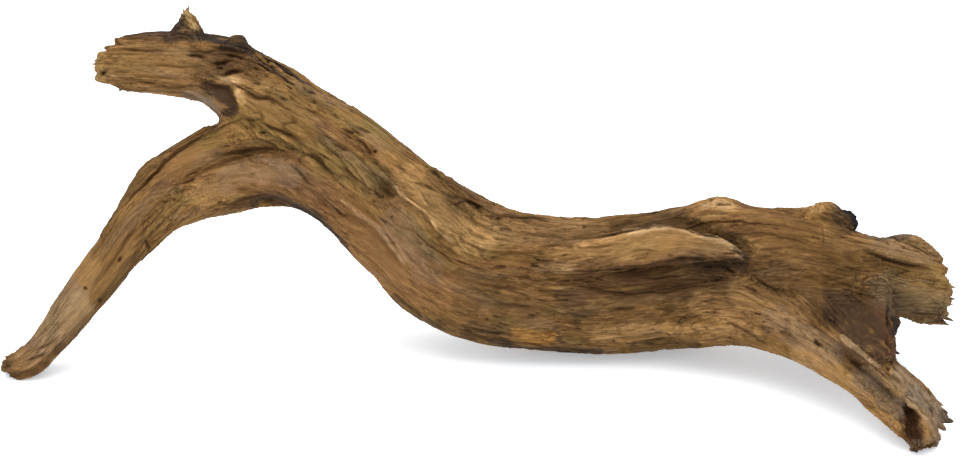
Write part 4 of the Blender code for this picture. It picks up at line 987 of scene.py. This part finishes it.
def add_strand(bm, stations, seed, sides=32, step=2.5, flutes=0.05):
    """Lofts a closed strand of squarish section, fluted along the grain."""
    square = 2.5
    flute_turns, flute_length, finer = 2.6, 45, 0.7
    tip_reach = 0.3
    stations = np.array([(*station, 0)[:6] for station in stations], float)
    rows = smooth_rows(np.hstack([place(stations[:, :3]), stations[:, 3:]]), step)
    centres, tall, deep = rows[:, :3], rows[:, 3], rows[:, 4]
    lean = np.radians(rows[:, 5:6])
    along, level, upright = frames_of(centres)
    depth = level * np.cos(lean) - upright * np.sin(lean)
    across = upright * np.cos(lean) + level * np.sin(lean)
    travelled = travel(centres)
    angle = np.arange(sides) * math.tau / sides
    cos, sin = np.cos(angle), np.sin(angle)
    squareness = (np.abs(cos) ** square + np.abs(sin) ** square) ** (-1 / square)
    rings = []
    for k, centre in enumerate(centres):
        reached = np.full(sides, travelled[k] / flute_length)
        grain = np.stack([cos * flute_turns, sin * flute_turns, reached], axis=1)
        swell = squareness * (1 + flutes * noise(grain, seed) + finer * flutes * noise(grain * 2, seed + 1))
        ring = (centre + np.outer(cos * swell * tall[k], across[k])
                + np.outer(sin * swell * deep[k], depth[k]))
        rings.append([bm.verts.new(point) for point in ring])
    for first, second in zip(rings, rings[1:]):
        for k in range(sides):
            bm.faces.new((first[k], first[k - 1], second[k - 1], second[k]))
    for ring, centre, way in ((rings[0], centres[0], -along[0]), (rings[-1], centres[-1], along[-1])):
        tip = bm.verts.new(centre + way * tip_reach * min(tall[0], tall[-1]))
        for k in range(sides):
            bm.faces.new((ring[k - 1], ring[k], tip))


def add_splinter(bm, row, seed):
    """A thin pointed strand from its root to its tip."""
    root, tip, radius = np.array(row[:3]), np.array(row[3:6]), row[6]
    stations = [(*((1 - share) * root + share * tip), tall * radius, deep * radius)
                for share, tall, deep in SPLINTER_TAPER]
    add_strand(bm, stations, seed, sides=8, step=1.2, flutes=0.3)


def add_fringe(bm):
    """Fine fibres that stand out of the torn ends."""
    chance = np.random.RandomState(5)
    first = FIRST_SEED["fringe"]
    for inside, outside, reach in ENDS:
        (x, h, y), (x2, h2, y2) = inside, outside
        way = unit(np.array([x2 - x, h2 - h, y2 - y], float))
        heights, limits = np.array(reach).T
        lowest, highest = heights[0] + FRINGE_INSET[0], heights[-1] - FRINGE_INSET[1]
        for count in range(FRINGE_COUNT):
            high = chance.uniform(lowest, highest)
            far = np.interp(high, heights, limits)
            deep = chance.uniform(-FRINGE_DEPTH, FRINGE_DEPTH)
            astray = chance.uniform(-1, 1, 3) * FRINGE_ASTRAY
            base = np.array([x, h + high, y + deep]) + way * (far - FRINGE_ROOT)
            tip = base + way * (FRINGE_ROOT + chance.uniform(*FRINGE_REACH)) + astray
            add_splinter(bm, (*base, *tip, chance.uniform(*FRINGE_RADIUS)), first + count)


def coordinates(mesh, kind="vertices", field="co"):
    """One vector per row of a mesh's list: its place, its normal or its middle."""
    rows = getattr(mesh, kind)
    found = np.empty(len(rows) * 3, np.float32)
    rows.foreach_get(field, found)
    return found.reshape(-1, 3).astype(float)


def move_points(mesh, points):
    """Sets the points of a mesh."""
    mesh.vertices.foreach_set("co", points.astype(np.float32).ravel())
    mesh.update()


def near_line(readings, line, half_width, fade):
    """Which readings lie near a line, how far off it, whether right of it, and how full it is there."""
    line = smooth_rows(np.array([(*point, 0) for point in line], float), STROKE_STEP)[:, :2]
    low, high = line.min(axis=0) - half_width, line.max(axis=0) + half_width
    near = np.nonzero(((readings > low) & (readings < high)).all(axis=1))[0]
    points, travelled = readings[near], travel(line)
    gap, side, reached = np.full(len(near), np.inf), np.zeros(len(near)), np.zeros(len(near))
    for a, b, start in zip(line, line[1:], travelled):
        run, offset = b - a, points - a
        t = np.clip((offset @ run) / (run @ run), 0, 1)
        here = np.linalg.norm(offset - t[:, None] * run, axis=1)
        closer = here < gap
        gap[closer] = here[closer]
        side[closer] = (run[1] * offset[:, 0] - run[0] * offset[:, 1])[closer]
        reached[closer] = (start + t * np.linalg.norm(run))[closer]
    full = np.minimum(reached, travelled[-1] - reached) / (fade * travelled[-1] + 1e-6)
    return near, gap, side > 0, STROKE_END + (1 - STROKE_END) * np.clip(full + (fade == 0), 0, 1)


def stroke(readings, line, half_width, fade=0.3):
    """From 0 to 1, how near the middle of a stroke each reading lies. Its ends thin out."""
    found = np.zeros(len(readings))
    near, gap, _, full = near_line(readings, line, half_width, fade)
    found[near] = np.clip(1 - (gap / (half_width * full)) ** 2, 0, 1) ** STROKE_ROUND * full
    return found


def drop(readings, line, width, fade=0.25):
    """From 0 to 1, how deep each reading lies under a ledge, and how much of the ledge's painted shade it
    gets.
    """
    deep, shaded = np.zeros(len(readings)), np.zeros(len(readings))
    near, gap, right, full = near_line(readings, line, SHADE_WIDTH * width, fade)
    drops = np.clip(1 - gap / (width * full), 0, 1) ** STROKE_ROUND
    shades = np.clip(1 - gap / (SHADE_WIDTH * width * full), 0, 1)
    deep[near] = drops * ramp(gap, 0, DROP_EDGE) * full * right
    shaded[near] = shades * ramp(gap, 0, SHADE_EDGE) * full * right
    return deep, shaded


def carve(thing, lines):
    """Sinks hollows into the side that faces the viewer, straight away from the viewer."""
    mesh = thing.data
    forward = viewer()[2]
    points = coordinates(mesh)
    normals = coordinates(mesh, "vertex_normals", "vector")
    facing = ramp(-(normals @ forward), *CARVED_SIDE)
    readings = seen(points)
    for half_width, depth, line in lines:
        points += forward * (stroke(readings, line, half_width) * facing * depth)[:, None]
    move_points(mesh, points)


def tear(root):
    """Breaks the ends off, fibre by fibre."""
    points = coordinates(root.data)
    for seed, (inside, outside, reach) in enumerate(ENDS):
        ends = place([inside, outside])
        way = unit(ends[1] - ends[0])
        first, second = seen(ends)
        seen_way = (second - first) / np.linalg.norm(ends[1] - ends[0])
        shrink = np.linalg.norm(seen_way)
        seen_way /= shrink
        offset = seen(points) - first
        out = offset @ seen_way
        high = offset @ np.array([-seen_way[1], seen_way[0]]) * np.sign(seen_way[0])
        across = np.stack([high, points[:, 1], out * FIBRE_DRIFT], axis=1)
        limit = np.interp(high, *np.array(reach).T)
        for fibre_reach, width, first_seed in FIBRES:
            limit += fibre_reach * noise(across / width, first_seed + seed)
        aside = np.abs(points[:, 1] - ends[0][1])
        ragged, width, first_seed = SIDES_RAGGED
        wavering = aside + ragged * noise(across / width, first_seed + seed)
        limit -= SIDES_FALL_BACK * ramp(wavering, *SIDES_FROM_MIDDLE)
        torn = (out > limit) & (np.abs(high) < END_REACH) & (aside < END_REACH)
        points[torn] += way * ((1 - STUMP_KEPT) / shrink * (limit - out))[torn, None]
    move_points(root.data, points)


def mesh_of(bm, name):
    """A mesh of the faces built in bm, turned outward."""
    mesh = bpy.data.meshes.new(name)
    bmesh.ops.recalc_face_normals(bm, faces=bm.faces)
    bm.to_mesh(mesh)
    bm.free()
    return mesh


def new_object(name, data):
    """An object of the scene that shows a mesh, a lamp or a camera."""
    thing = bpy.data.objects.new(name, data)
    bpy.context.scene.collection.objects.link(thing)
    return thing


def one_skin(thing, voxel):
    """Melts everything in a mesh into one closed skin."""
    remesh = thing.modifiers.new("skin", "REMESH")
    remesh.mode = "VOXEL"
    remesh.voxel_size = voxel
    soften = thing.modifiers.new("soften", "SMOOTH")
    soften.iterations = SOFTENING
    graph = bpy.context.evaluated_depsgraph_get()
    mesh = bpy.data.meshes.new_from_object(thing.evaluated_get(graph))
    thing.modifiers.clear()
    thing.data = mesh


def build_form():
    """The whole root as one closed mesh, in millimetres, before its surface is worked."""
    bm = bmesh.new()
    for seed, stations in enumerate(STRANDS.values()):
        add_strand(bm, stations, SEED_STEP * seed)
    form = new_object("form", mesh_of(bm, "form"))
    one_skin(form, FORM_VOXEL)
    carve(form, HOLLOWS)
    bm = bmesh.new()
    bm.from_mesh(form.data)
    bpy.data.objects.remove(form)
    for seed, stations in enumerate(FINE_STRANDS.values(), FIRST_SEED["fine strands"]):
        add_strand(bm, stations, seed, step=1.5)
    root = new_object("root", mesh_of(bm, "root"))
    one_skin(root, SURFACE_VOXEL)
    tear(root)
    return root


def grow_splinters(root):
    """Adds the splinters to the skin, and tells which points are the skin's own."""
    skin = len(root.data.vertices)
    bm = bmesh.new()
    for seed, row in enumerate(SPLINTERS, FIRST_SEED["splinters"]):
        add_splinter(bm, row, seed)
    add_fringe(bm)
    splinters = mesh_of(bm, "splinters")
    bm = bmesh.new()
    bm.from_mesh(root.data)
    bm.from_mesh(splinters)
    bm.to_mesh(root.data)
    bm.free()
    bpy.data.meshes.remove(splinters)
    return np.arange(len(root.data.vertices)) < skin


def follow(points, stations):
    """How far along a flow each point is, how far off it each way, and how far out in its wood."""
    stations = np.array(stations, float)
    rows = smooth_rows(np.hstack([place(stations[:, :3]), stations[:, 3:]]), 2.0)
    line = rows[:, :3]
    along, depth, upright = frames_of(line)
    travelled = travel(line)
    nearest = np.empty(len(points), int)
    batch = 20000
    for start in range(0, len(points), batch):
        part = points[start:start + batch]
        apart = (line**2).sum(axis=1) - 2 * part @ line.T
        nearest[start:start + batch] = apart.argmin(axis=1)
    ahead = np.einsum("ij,ij->i", points - line[nearest], along[nearest])
    reached = travelled[nearest] + ahead

    def there(columns):
        return np.stack([np.interp(reached, travelled, column) for column in columns.T], axis=1)

    offset = points - there(line)
    thick = np.interp(reached, travelled, rows[:, 3])
    up, back = (np.einsum("ij,ij->i", offset, there(way)) for way in (upright, depth))
    radius = np.hypot(up, back)
    spread = (SPREAD + np.maximum(radius - thick, 0)) / np.maximum(radius, thick)
    return np.stack([reached, up * spread, back * spread], axis=1), radius / thick


class Grain:
    """Where each point lies in the grain, which runs on from branch to branch."""

    def __init__(self, points):
        self.upper, out_of_upper = follow(points, FLOWS["upper"])
        self.lower, out_of_lower = follow(points, FLOWS["lower"])
        self.share = ramp(out_of_lower - out_of_upper, *FLOWS_MEET)
        for where in (self.upper, self.lower):
            where[:, 1:] += WAVE_REACH * noise_pair(where / WAVE_SIZE, WAVE_SEEDS)

    def noise(self, name):
        """The noise of a pattern, drawn out along the grain."""
        along, across, seed = PATTERNS[name]
        total = np.zeros(len(self.share))
        for where, weight in ((self.upper, self.share), (self.lower, 1 - self.share)):
            near = weight > LEAST_SHARE
            total[near] += weight[near] * noise(where[near] / (along, across, across), seed)
        return total / np.hypot(self.share, 1 - self.share)

    def crests(self, name):
        top, steep = CRESTS[name]
        return top - steep * np.abs(self.noise(name))

    def spots(self, name):
        return ramp(self.noise(name), *SPOTS[name])

    def blend(self, weights):
        return sum(weight * self.noise(name) for name, weight in weights.items())


def relief(grain, hidden):
    """How far the surface stands out, in millimetres, how dark its cracks, pits, dashes and painted shade
    make it, and how pale its wear and painted highlights make it.
    """
    layers = grain.noise("layers") * LAYER_COUNT
    level = layers - np.floor(layers)
    rise, full, thin, gone = LAYER_UNDER
    under = ramp(level, rise, full) * ramp(-level, -gone, -thin)
    rise, full, thin, gone = LAYER_RIM
    rim = ramp(level, rise, full) * ramp(-level, -gone, -thin)
    found = {"steps": np.floor(layers) + ramp(level, *LAYER_STEP), "threads": grain.noise("threads")}
    found |= {name: grain.crests(name) for name in ("flutes", "ridges", "fibres")}
    found |= {name: grain.spots(name) for name in ("chips", "flecks")}
    splits = np.maximum(grain.crests("long splits"), grain.crests("short splits"))
    found["cracks"] = np.clip(splits, 0, 1) * grain.spots("open wood")
    found["pits"] = grain.spots("pits") * grain.spots("pitted wood")
    found["dashes"] = grain.spots("dashes") * grain.spots("dashed wood")
    found["furrows"] = hidden * ramp(grain.crests("furrows"), *FURROW_RANGE)
    broken = grain.spots("broken rims")
    found["undersides"] = under * broken
    found["rims"] = rim * broken

    def blend(weights):
        return sum(weight * found[name] for name, weight in weights.items())

    height = blend(LIFT)
    found["valleys"] = ramp(-blend(VALLEYS), *VALLEY_RANGE)
    found["edges"] = ramp(blend(EDGES), *EDGE_RANGE)
    found["furrow beds"] = ramp(found["furrows"], *FURROW_BED)
    dark, wear_and_highlight = blend(DARKEN), 0
    for name, weight in COVER.items():
        dark = np.maximum(dark, weight * found[name])
    for name, weight in WEAR_AND_HIGHLIGHT.items():
        wear_and_highlight = np.maximum(wear_and_highlight, weight * found[name])
    return height, dark, wear_and_highlight


def worked_front(readings, facing):
    """The ledges and cuts of the front: how deep each point is, how dark their painted shade makes it, how
    pale their painted highlights make it, and how smooth it is.
    """
    sunk, dark, pale, smooth = (np.zeros(len(readings)) for _ in range(4))
    for width, depth, tint, line in LEDGES:
        deep, shaded = drop(readings, line, width)
        sunk += depth * deep * facing
        dark = np.maximum(dark, tint * shaded * facing)
    for half_width, depth, tint, line in CUTS:
        cut = stroke(readings, line, half_width + CUT_MORE) * facing
        sunk += depth * cut
        dark = np.maximum(dark, tint * cut)
        pale = np.maximum(pale, -tint * cut)
    for half_width, strength, line in SMOOTH:
        smooth = np.maximum(smooth, strength * stroke(readings, line, half_width) * facing)
    return sunk, dark, pale, smooth


def crumble(points, readings, front):
    """How far crumbled places stand out, in lumps."""
    lumps = sum(weight * noise(points / size, seed) for size, seed, weight in LUMPS)
    rough = np.zeros(len(points))
    for half_width, strength, line in ROUGH:
        rough = np.maximum(rough, strength * stroke(readings, line, half_width, fade=0))
    return lumps * rough * ramp(front, *CRUMBLED_SIDE)


def wood_colour(grain, points, readings, facing, dark, wear_and_highlight, smooth):
    """The colour of the wood at each point, in linear light, with its stains, painted shade and painted
    highlights.
    """
    colour = np.tile(SHADES["brown"], (len(points), 1))

    def move_colour_towards(name, share):
        colour[:] += (SHADES[name] - colour) * share[:, None]

    warmth = grain.blend(WARMTH)
    move_colour_towards("wood", LEAST_TONE + (1 - LEAST_TONE) * ramp(grain.blend(TONE), *TONE_RANGE))
    move_colour_towards("redwood", WARM_SHARE * ramp(warmth, *WARM_RANGE))
    move_colour_towards("olive", WARM_SHARE * ramp(-warmth, *WARM_RANGE))
    move_colour_towards("grey", GREY_SHARE * grain.spots("grey wood"))
    ragged = 1 + grain.blend(RAGGED)
    size, seeds, reach = MARK_SHIFT
    shift = noise_pair(points / size, seeds)
    # Stains, and painted shade and highlights, each laid along its stroke.
    for name, strength, half_width, line in STAINS_AND_PAINTED_LIGHT:
        mark_readings = readings + reach * half_width * shift
        mark = stroke(mark_readings, line, half_width * MARK_WIDTH, fade=0) ** MARK_FLAT * ragged * facing
        move_colour_towards(name, strength * ramp(mark, *MARK_RANGE))
    # Wear and painted highlights make the wood paler.
    colour += (colour * PALE_GAIN + PALE_TINGE) * wear_and_highlight[:, None]
    # Painted shade and dark cracks, pits and dashes take colour away.
    shaded = dark * (1 + DEEPEST_DARK_LOSS * ramp(dark, *DEEP_RANGE))
    colour -= colour * SHADE_AND_CRACK_LOSS * shaded[:, None]
    return colour * (1 + grain.blend(STREAKS) * (1 - SMOOTH_HIDES["streaks"] * smooth))[:, None]


def set_attribute(mesh, name, kind, values):
    """Keeps a value at every point of a mesh for the material."""
    attribute = mesh.attributes.new(name, kind, "POINT")
    field = {"FLOAT": "value", "FLOAT_VECTOR": "vector", "FLOAT_COLOR": "color"}[kind]
    attribute.data.foreach_set(field, np.ascontiguousarray(values, np.float32).ravel())


def work_surface(root):
    """Gives the form its grain, cracks and pits, paints shade and highlights into its colour, and keeps
    what the material needs.
    """
    mesh = root.data
    skin = grow_splinters(root)
    points = coordinates(mesh)
    normals = coordinates(mesh, "vertex_normals", "vector")
    forward = viewer()[2]
    front = -(normals @ forward)
    grain = Grain(points)
    readings = seen(points)
    for size, seed, reach in WAVERS:
        readings += reach * noise_pair(points / size, (seed, seed + 1))
    height, dark, wear_and_highlight = relief(grain, ramp(-front, *HIDDEN_SIDE))
    sunk, cut_dark, pale, smooth = worked_front(readings, ramp(front, *WORKED_SIDE))
    # The darkening is painted shade and the dark marks of the grain. The paling is wear and painted
    # highlights.
    dark = np.clip(np.maximum(dark * (1 - SMOOTH_HIDES["dark"] * smooth), cut_dark), 0, 1)
    wear_and_highlight = WEAR_AND_HIGHLIGHT_SHARE * wear_and_highlight * (1 - SMOOTH_HIDES["wear_and_highlight"] * smooth)
    wear_and_highlight = np.clip(np.maximum(wear_and_highlight, pale), 0, 1) * (1 - dark)
    height = height * (1 - smooth) + crumble(points, readings, front)
    points += normals * (height * skin)[:, None]
    points += forward * (sunk * skin)[:, None]
    points[:, 2] = np.maximum(points[:, 2], 0)
    move_points(mesh, points)
    colour = wood_colour(grain, points, readings, ramp(front, *MARKED_SIDE), dark, wear_and_highlight, smooth)
    colour = np.hstack([np.clip(colour, 0, 1), np.ones((len(colour), 1))])
    # The wood's colour, with its painted shade and painted highlights.
    set_attribute(mesh, "wood", "FLOAT_COLOR", colour)
    set_attribute(mesh, "upper_grain", "FLOAT_VECTOR", grain.upper)
    set_attribute(mesh, "lower_grain", "FLOAT_VECTOR", grain.lower)
    set_attribute(mesh, "share", "FLOAT", grain.share)
    set_attribute(mesh, "smooth", "FLOAT", smooth)


def sight_plane(first, second):
    """A plane that is seen edge-on as the line through two readings of x and h."""
    eye = viewer()[0]
    a, b = place([(*first, 0), (*second, 0)])
    return a, unit(np.cross(a - eye, b - eye))


def fork_planes(name, side):
    """The planes of a fork, each with the normal that points to the upper branch or outward."""
    fork = FORKS[name]
    crotch = fork["crotch"]
    far = 100
    away = (crotch[0] + far * side, crotch[1])
    found = {}
    for key, other in (("upper", fork["upper"]), ("lower", fork["lower"]), ("between", away)):
        point, normal = sight_plane(crotch, other)
        outward = (side, 0, 0) if key != "between" else (0, 0, 1)
        found[key] = (point, normal if normal @ outward > 0 else -normal)
    return found


def cut_into_pieces(root, material):
    """Parts the root at its forks. The pieces meet exactly and keep the whole root's shading."""
    left, right = fork_planes("left", -1), fork_planes("right", 1)
    bm = bmesh.new()
    bm.from_mesh(root.data)
    bpy.data.objects.remove(root)
    planes = [left["upper"], left["lower"], right["upper"], right["lower"]]
    planes += [left["between"], right["between"]]
    planes += [((x, 0, 0), (1, 0, 0)) for x in TRUNK_CUTS]
    for point, normal in planes:
        everything = bm.verts[:] + bm.edges[:] + bm.faces[:]
        bmesh.ops.bisect_plane(bm, geom=everything, dist=1e-4, plane_co=point, plane_no=normal)
    whole = bpy.data.meshes.new("whole")
    bm.to_mesh(whole)
    bm.free()
    middles = coordinates(whole, "polygons", "center")
    normals = coordinates(whole, "vertex_normals", "vector")

    def beyond(plane):
        return (middles - plane[0]) @ plane[1] > 0

    branches = {
        "left_arm": beyond(left["upper"]) & beyond(left["between"]),
        "left_leg": beyond(left["lower"]) & ~beyond(left["between"]),
        "right_stub": beyond(right["upper"]) & beyond(right["between"]),
        "right_leg": beyond(right["lower"]) & ~beyond(right["between"]),
    }
    pieces = [(node + "_wood", node, chosen) for node, chosen in branches.items()]
    in_trunk = ~np.any(list(branches.values()), axis=0)
    part = np.digitize(middles[:, 0], TRUNK_CUTS)
    for count, name in enumerate(TRUNK_PIECES):
        pieces.append((name, "trunk", in_trunk & (part == count)))
    for name, node, chosen in pieces:
        finish_piece(kept_part(whole, name, chosen, normals), node, material)
    bpy.data.meshes.remove(whole)


def kept_part(whole, name, chosen, normals):
    """A piece of only the chosen faces, shaded as on the whole."""
    mesh = bpy.data.meshes.new(name)
    bm = bmesh.new()
    bm.from_mesh(whole)
    bm.faces.ensure_lookup_table()
    origin = bm.verts.layers.int.new("origin")
    for vert in bm.verts:
        vert[origin] = vert.index
    dropped = [face for face, keep in zip(bm.faces, chosen) if not keep]
    bmesh.ops.delete(bm, geom=dropped, context="FACES")
    bm.to_mesh(mesh)
    bm.free()
    index = np.empty(len(mesh.vertices), np.int32)
    mesh.attributes["origin"].data.foreach_get("value", index)
    mesh.attributes.remove(mesh.attributes["origin"])
    mesh.shade_smooth()
    mesh.normals_split_custom_set_from_vertices(normals[index])
    return new_object(name, mesh)


def finish_piece(piece, node, material):
    """Moves a piece to the frame, in metres, gives it the wood, hangs it from the root's body and hides its
    node's own part.
    """
    move_points(piece.data, (coordinates(piece.data) - PLAN_CENTRE) * MM)
    piece.data.materials.append(material)
    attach(piece, "root")
    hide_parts(node)


def add_node(tree, kind, settings=None, **inputs):
    """A shader node with its settings, and each input set to a value or linked to an output."""
    node = tree.nodes.new(kind)
    for name, value in (settings or {}).items():
        setattr(node, name, value)
    for name, value in inputs.items():
        set_input(tree, node.inputs[int(name[1:])] if name[1:].isdigit() else node.inputs[name], value)
    return node


def set_input(tree, socket, value):
    """Sets an input to a value, or links it to an output."""
    if isinstance(value, bpy.types.NodeSocket):
        tree.links.new(value, socket)
    else:
        socket.default_value = value


def attribute(tree, name, output):
    """A value that is kept at every point of the mesh."""
    return add_node(tree, "ShaderNodeAttribute", {"attribute_name": name}).outputs[output]


def maths(tree, operation, a, b=0.0, c=0.0):
    return add_node(tree, "ShaderNodeMath", {"operation": operation}, i0=a, i1=b, i2=c).outputs[0]


def drawn_noise(tree, along, across, detail, roughness):
    """Noise drawn out along the grain, blended where the two flows meet."""
    found = []
    for name in ("upper_grain", "lower_grain"):
        scaled = add_node(tree, "ShaderNodeVectorMath", {"operation": "DIVIDE"},
                          i0=attribute(tree, name, "Vector"), i1=(along, across, across))
        found.append(add_node(tree, "ShaderNodeTexNoise", Vector=scaled.outputs[0], Scale=1.0,
                              Detail=detail, Roughness=roughness).outputs[0])
    mixed = add_node(tree, "ShaderNodeMix", i0=attribute(tree, "share", "Fac"), i2=found[1], i3=found[0])
    return mixed.outputs[0]


def stretch(tree, value, low, high, to_low, to_high):
    """Takes the values from low to high to the values from to_low to to_high."""
    node = add_node(tree, "ShaderNodeMapRange", i0=value, i1=low, i2=high, i3=to_low, i4=to_high)
    return node.outputs[0]


def new_material(name, **inputs):
    """A material of one shader, with its inputs set, and its nodes."""
    material = bpy.data.materials.new(name)
    material.use_nodes = True
    tree = material.node_tree
    for socket, value in inputs.items():
        tree.nodes["Principled BSDF"].inputs[socket.replace("_", " ")].default_value = value
    return material, tree


def make_wood():
    """Dry driftwood: streaks, threads and hairline cracks along the grain over the colours kept on the
    mesh, painted shade and highlights included.
    """
    material, tree = new_material("driftwood", Specular_IOR_Level=0.1)
    shader = tree.nodes["Principled BSDF"]
    found = {name: drawn_noise(tree, *sizes) for name, sizes in FINEST.items()}
    split = maths(tree, "ABSOLUTE", maths(tree, "SUBTRACT", found["splits"], 0.5))
    there = stretch(tree, found["split wood"], *SPLIT_WOOD)
    found["splits"] = maths(tree, "MULTIPLY", stretch(tree, split, *HAIRLINE), there)
    light, rise = 1.0, 0.0
    for name, limits in LIGHT.items():
        light = maths(tree, "MULTIPLY", light, stretch(tree, found[name], *limits))
    for name, weight in RISE.items():
        rise = maths(tree, "MULTIPLY_ADD", found[name], weight, rise)
    plain = attribute(tree, "smooth", "Fac")
    hidden = maths(tree, "MULTIPLY", plain, SMOOTH_HIDES["finest"])
    light = add_node(tree, "ShaderNodeMix", i0=hidden, i2=light, i3=1.0)
    colour = add_node(tree, "ShaderNodeVectorMath", {"operation": "SCALE"},
                      i0=attribute(tree, "wood", "Color"), Scale=light.outputs[0])
    bump = add_node(tree, "ShaderNodeBump", Strength=stretch(tree, plain, *BUMP),
                    Distance=BUMP_HEIGHT, Height=rise)
    set_input(tree, shader.inputs["Base Color"], colour.outputs[0])
    set_input(tree, shader.inputs["Roughness"], stretch(tree, found["streaks"], *MATT))
    set_input(tree, shader.inputs["Normal"], bump.outputs[0])
    return material


def make_floor():
    """A plain pale floor with a faint glow of its own, so that shadows on it stay light."""
    bm = bmesh.new()
    bmesh.ops.create_grid(bm, x_segments=1, y_segments=1, size=6)
    mesh = bpy.data.meshes.new("floor")
    bm.to_mesh(mesh)
    bm.free()
    material, _ = new_material(
        "floor", Base_Color=(0.91, 0.93, 0.96, 1), Roughness=0.9, Specular_IOR_Level=0.2,
        Emission_Color=(0.93, 0.965, 1.0, 1), Emission_Strength=0.35)
    mesh.materials.append(material)
    floor = new_object("floor", mesh)


def make_lamp(name, place_at, aim_at, size, power):
    lamp = bpy.data.lights.new(name, "AREA")
    lamp.shape = "DISK"
    lamp.size = size
    lamp.energy = power
    thing = new_object(name, lamp)
    thing.location = place_at
    thing.rotation_euler = (Vector(aim_at) - Vector(place_at)).to_track_quat("-Z", "Y").to_euler()


def make_studio():
    """A soft light from above, a weaker one from the front, and a bright pale room."""
    make_lamp("softbox", (-0.2, -0.1, 2.8), (0, 0, 0), size=4.2, power=88)
    make_lamp("front_fill", (-0.8, -2.4, 1.6), (0, 0, 0.05), size=1.6, power=8)
    world = bpy.data.worlds.new("room")
    world.use_nodes = True
    background = world.node_tree.nodes["Background"]
    background.inputs["Color"].default_value = (0.97, 0.985, 1.0, 1)
    background.inputs["Strength"].default_value = 1.0
    bpy.context.scene.world = world
    bpy.context.scene.view_settings.view_transform = "Standard"


def make_camera():
    """The photograph's view: from the front, looking down at the root."""
    camera = bpy.data.cameras.new("camera")
    camera.sensor_width = 36
    camera.lens = camera.sensor_width * SEEN_FROM / SEEN_WIDTH
    camera.clip_start = 0.05
    camera.clip_end = 50
    thing = new_object("camera", camera)
    thing.location = (viewer()[0] - PLAN_CENTRE) * MM
    thing.rotation_euler = (math.radians(90) - LOOK_DOWN, 0, 0)
    bpy.context.scene.camera = thing


def main():
    make_camera()
    make_floor()
    make_studio()
    root = build_form()
    work_surface(root)
    cut_into_pieces(root, make_wood())


main()
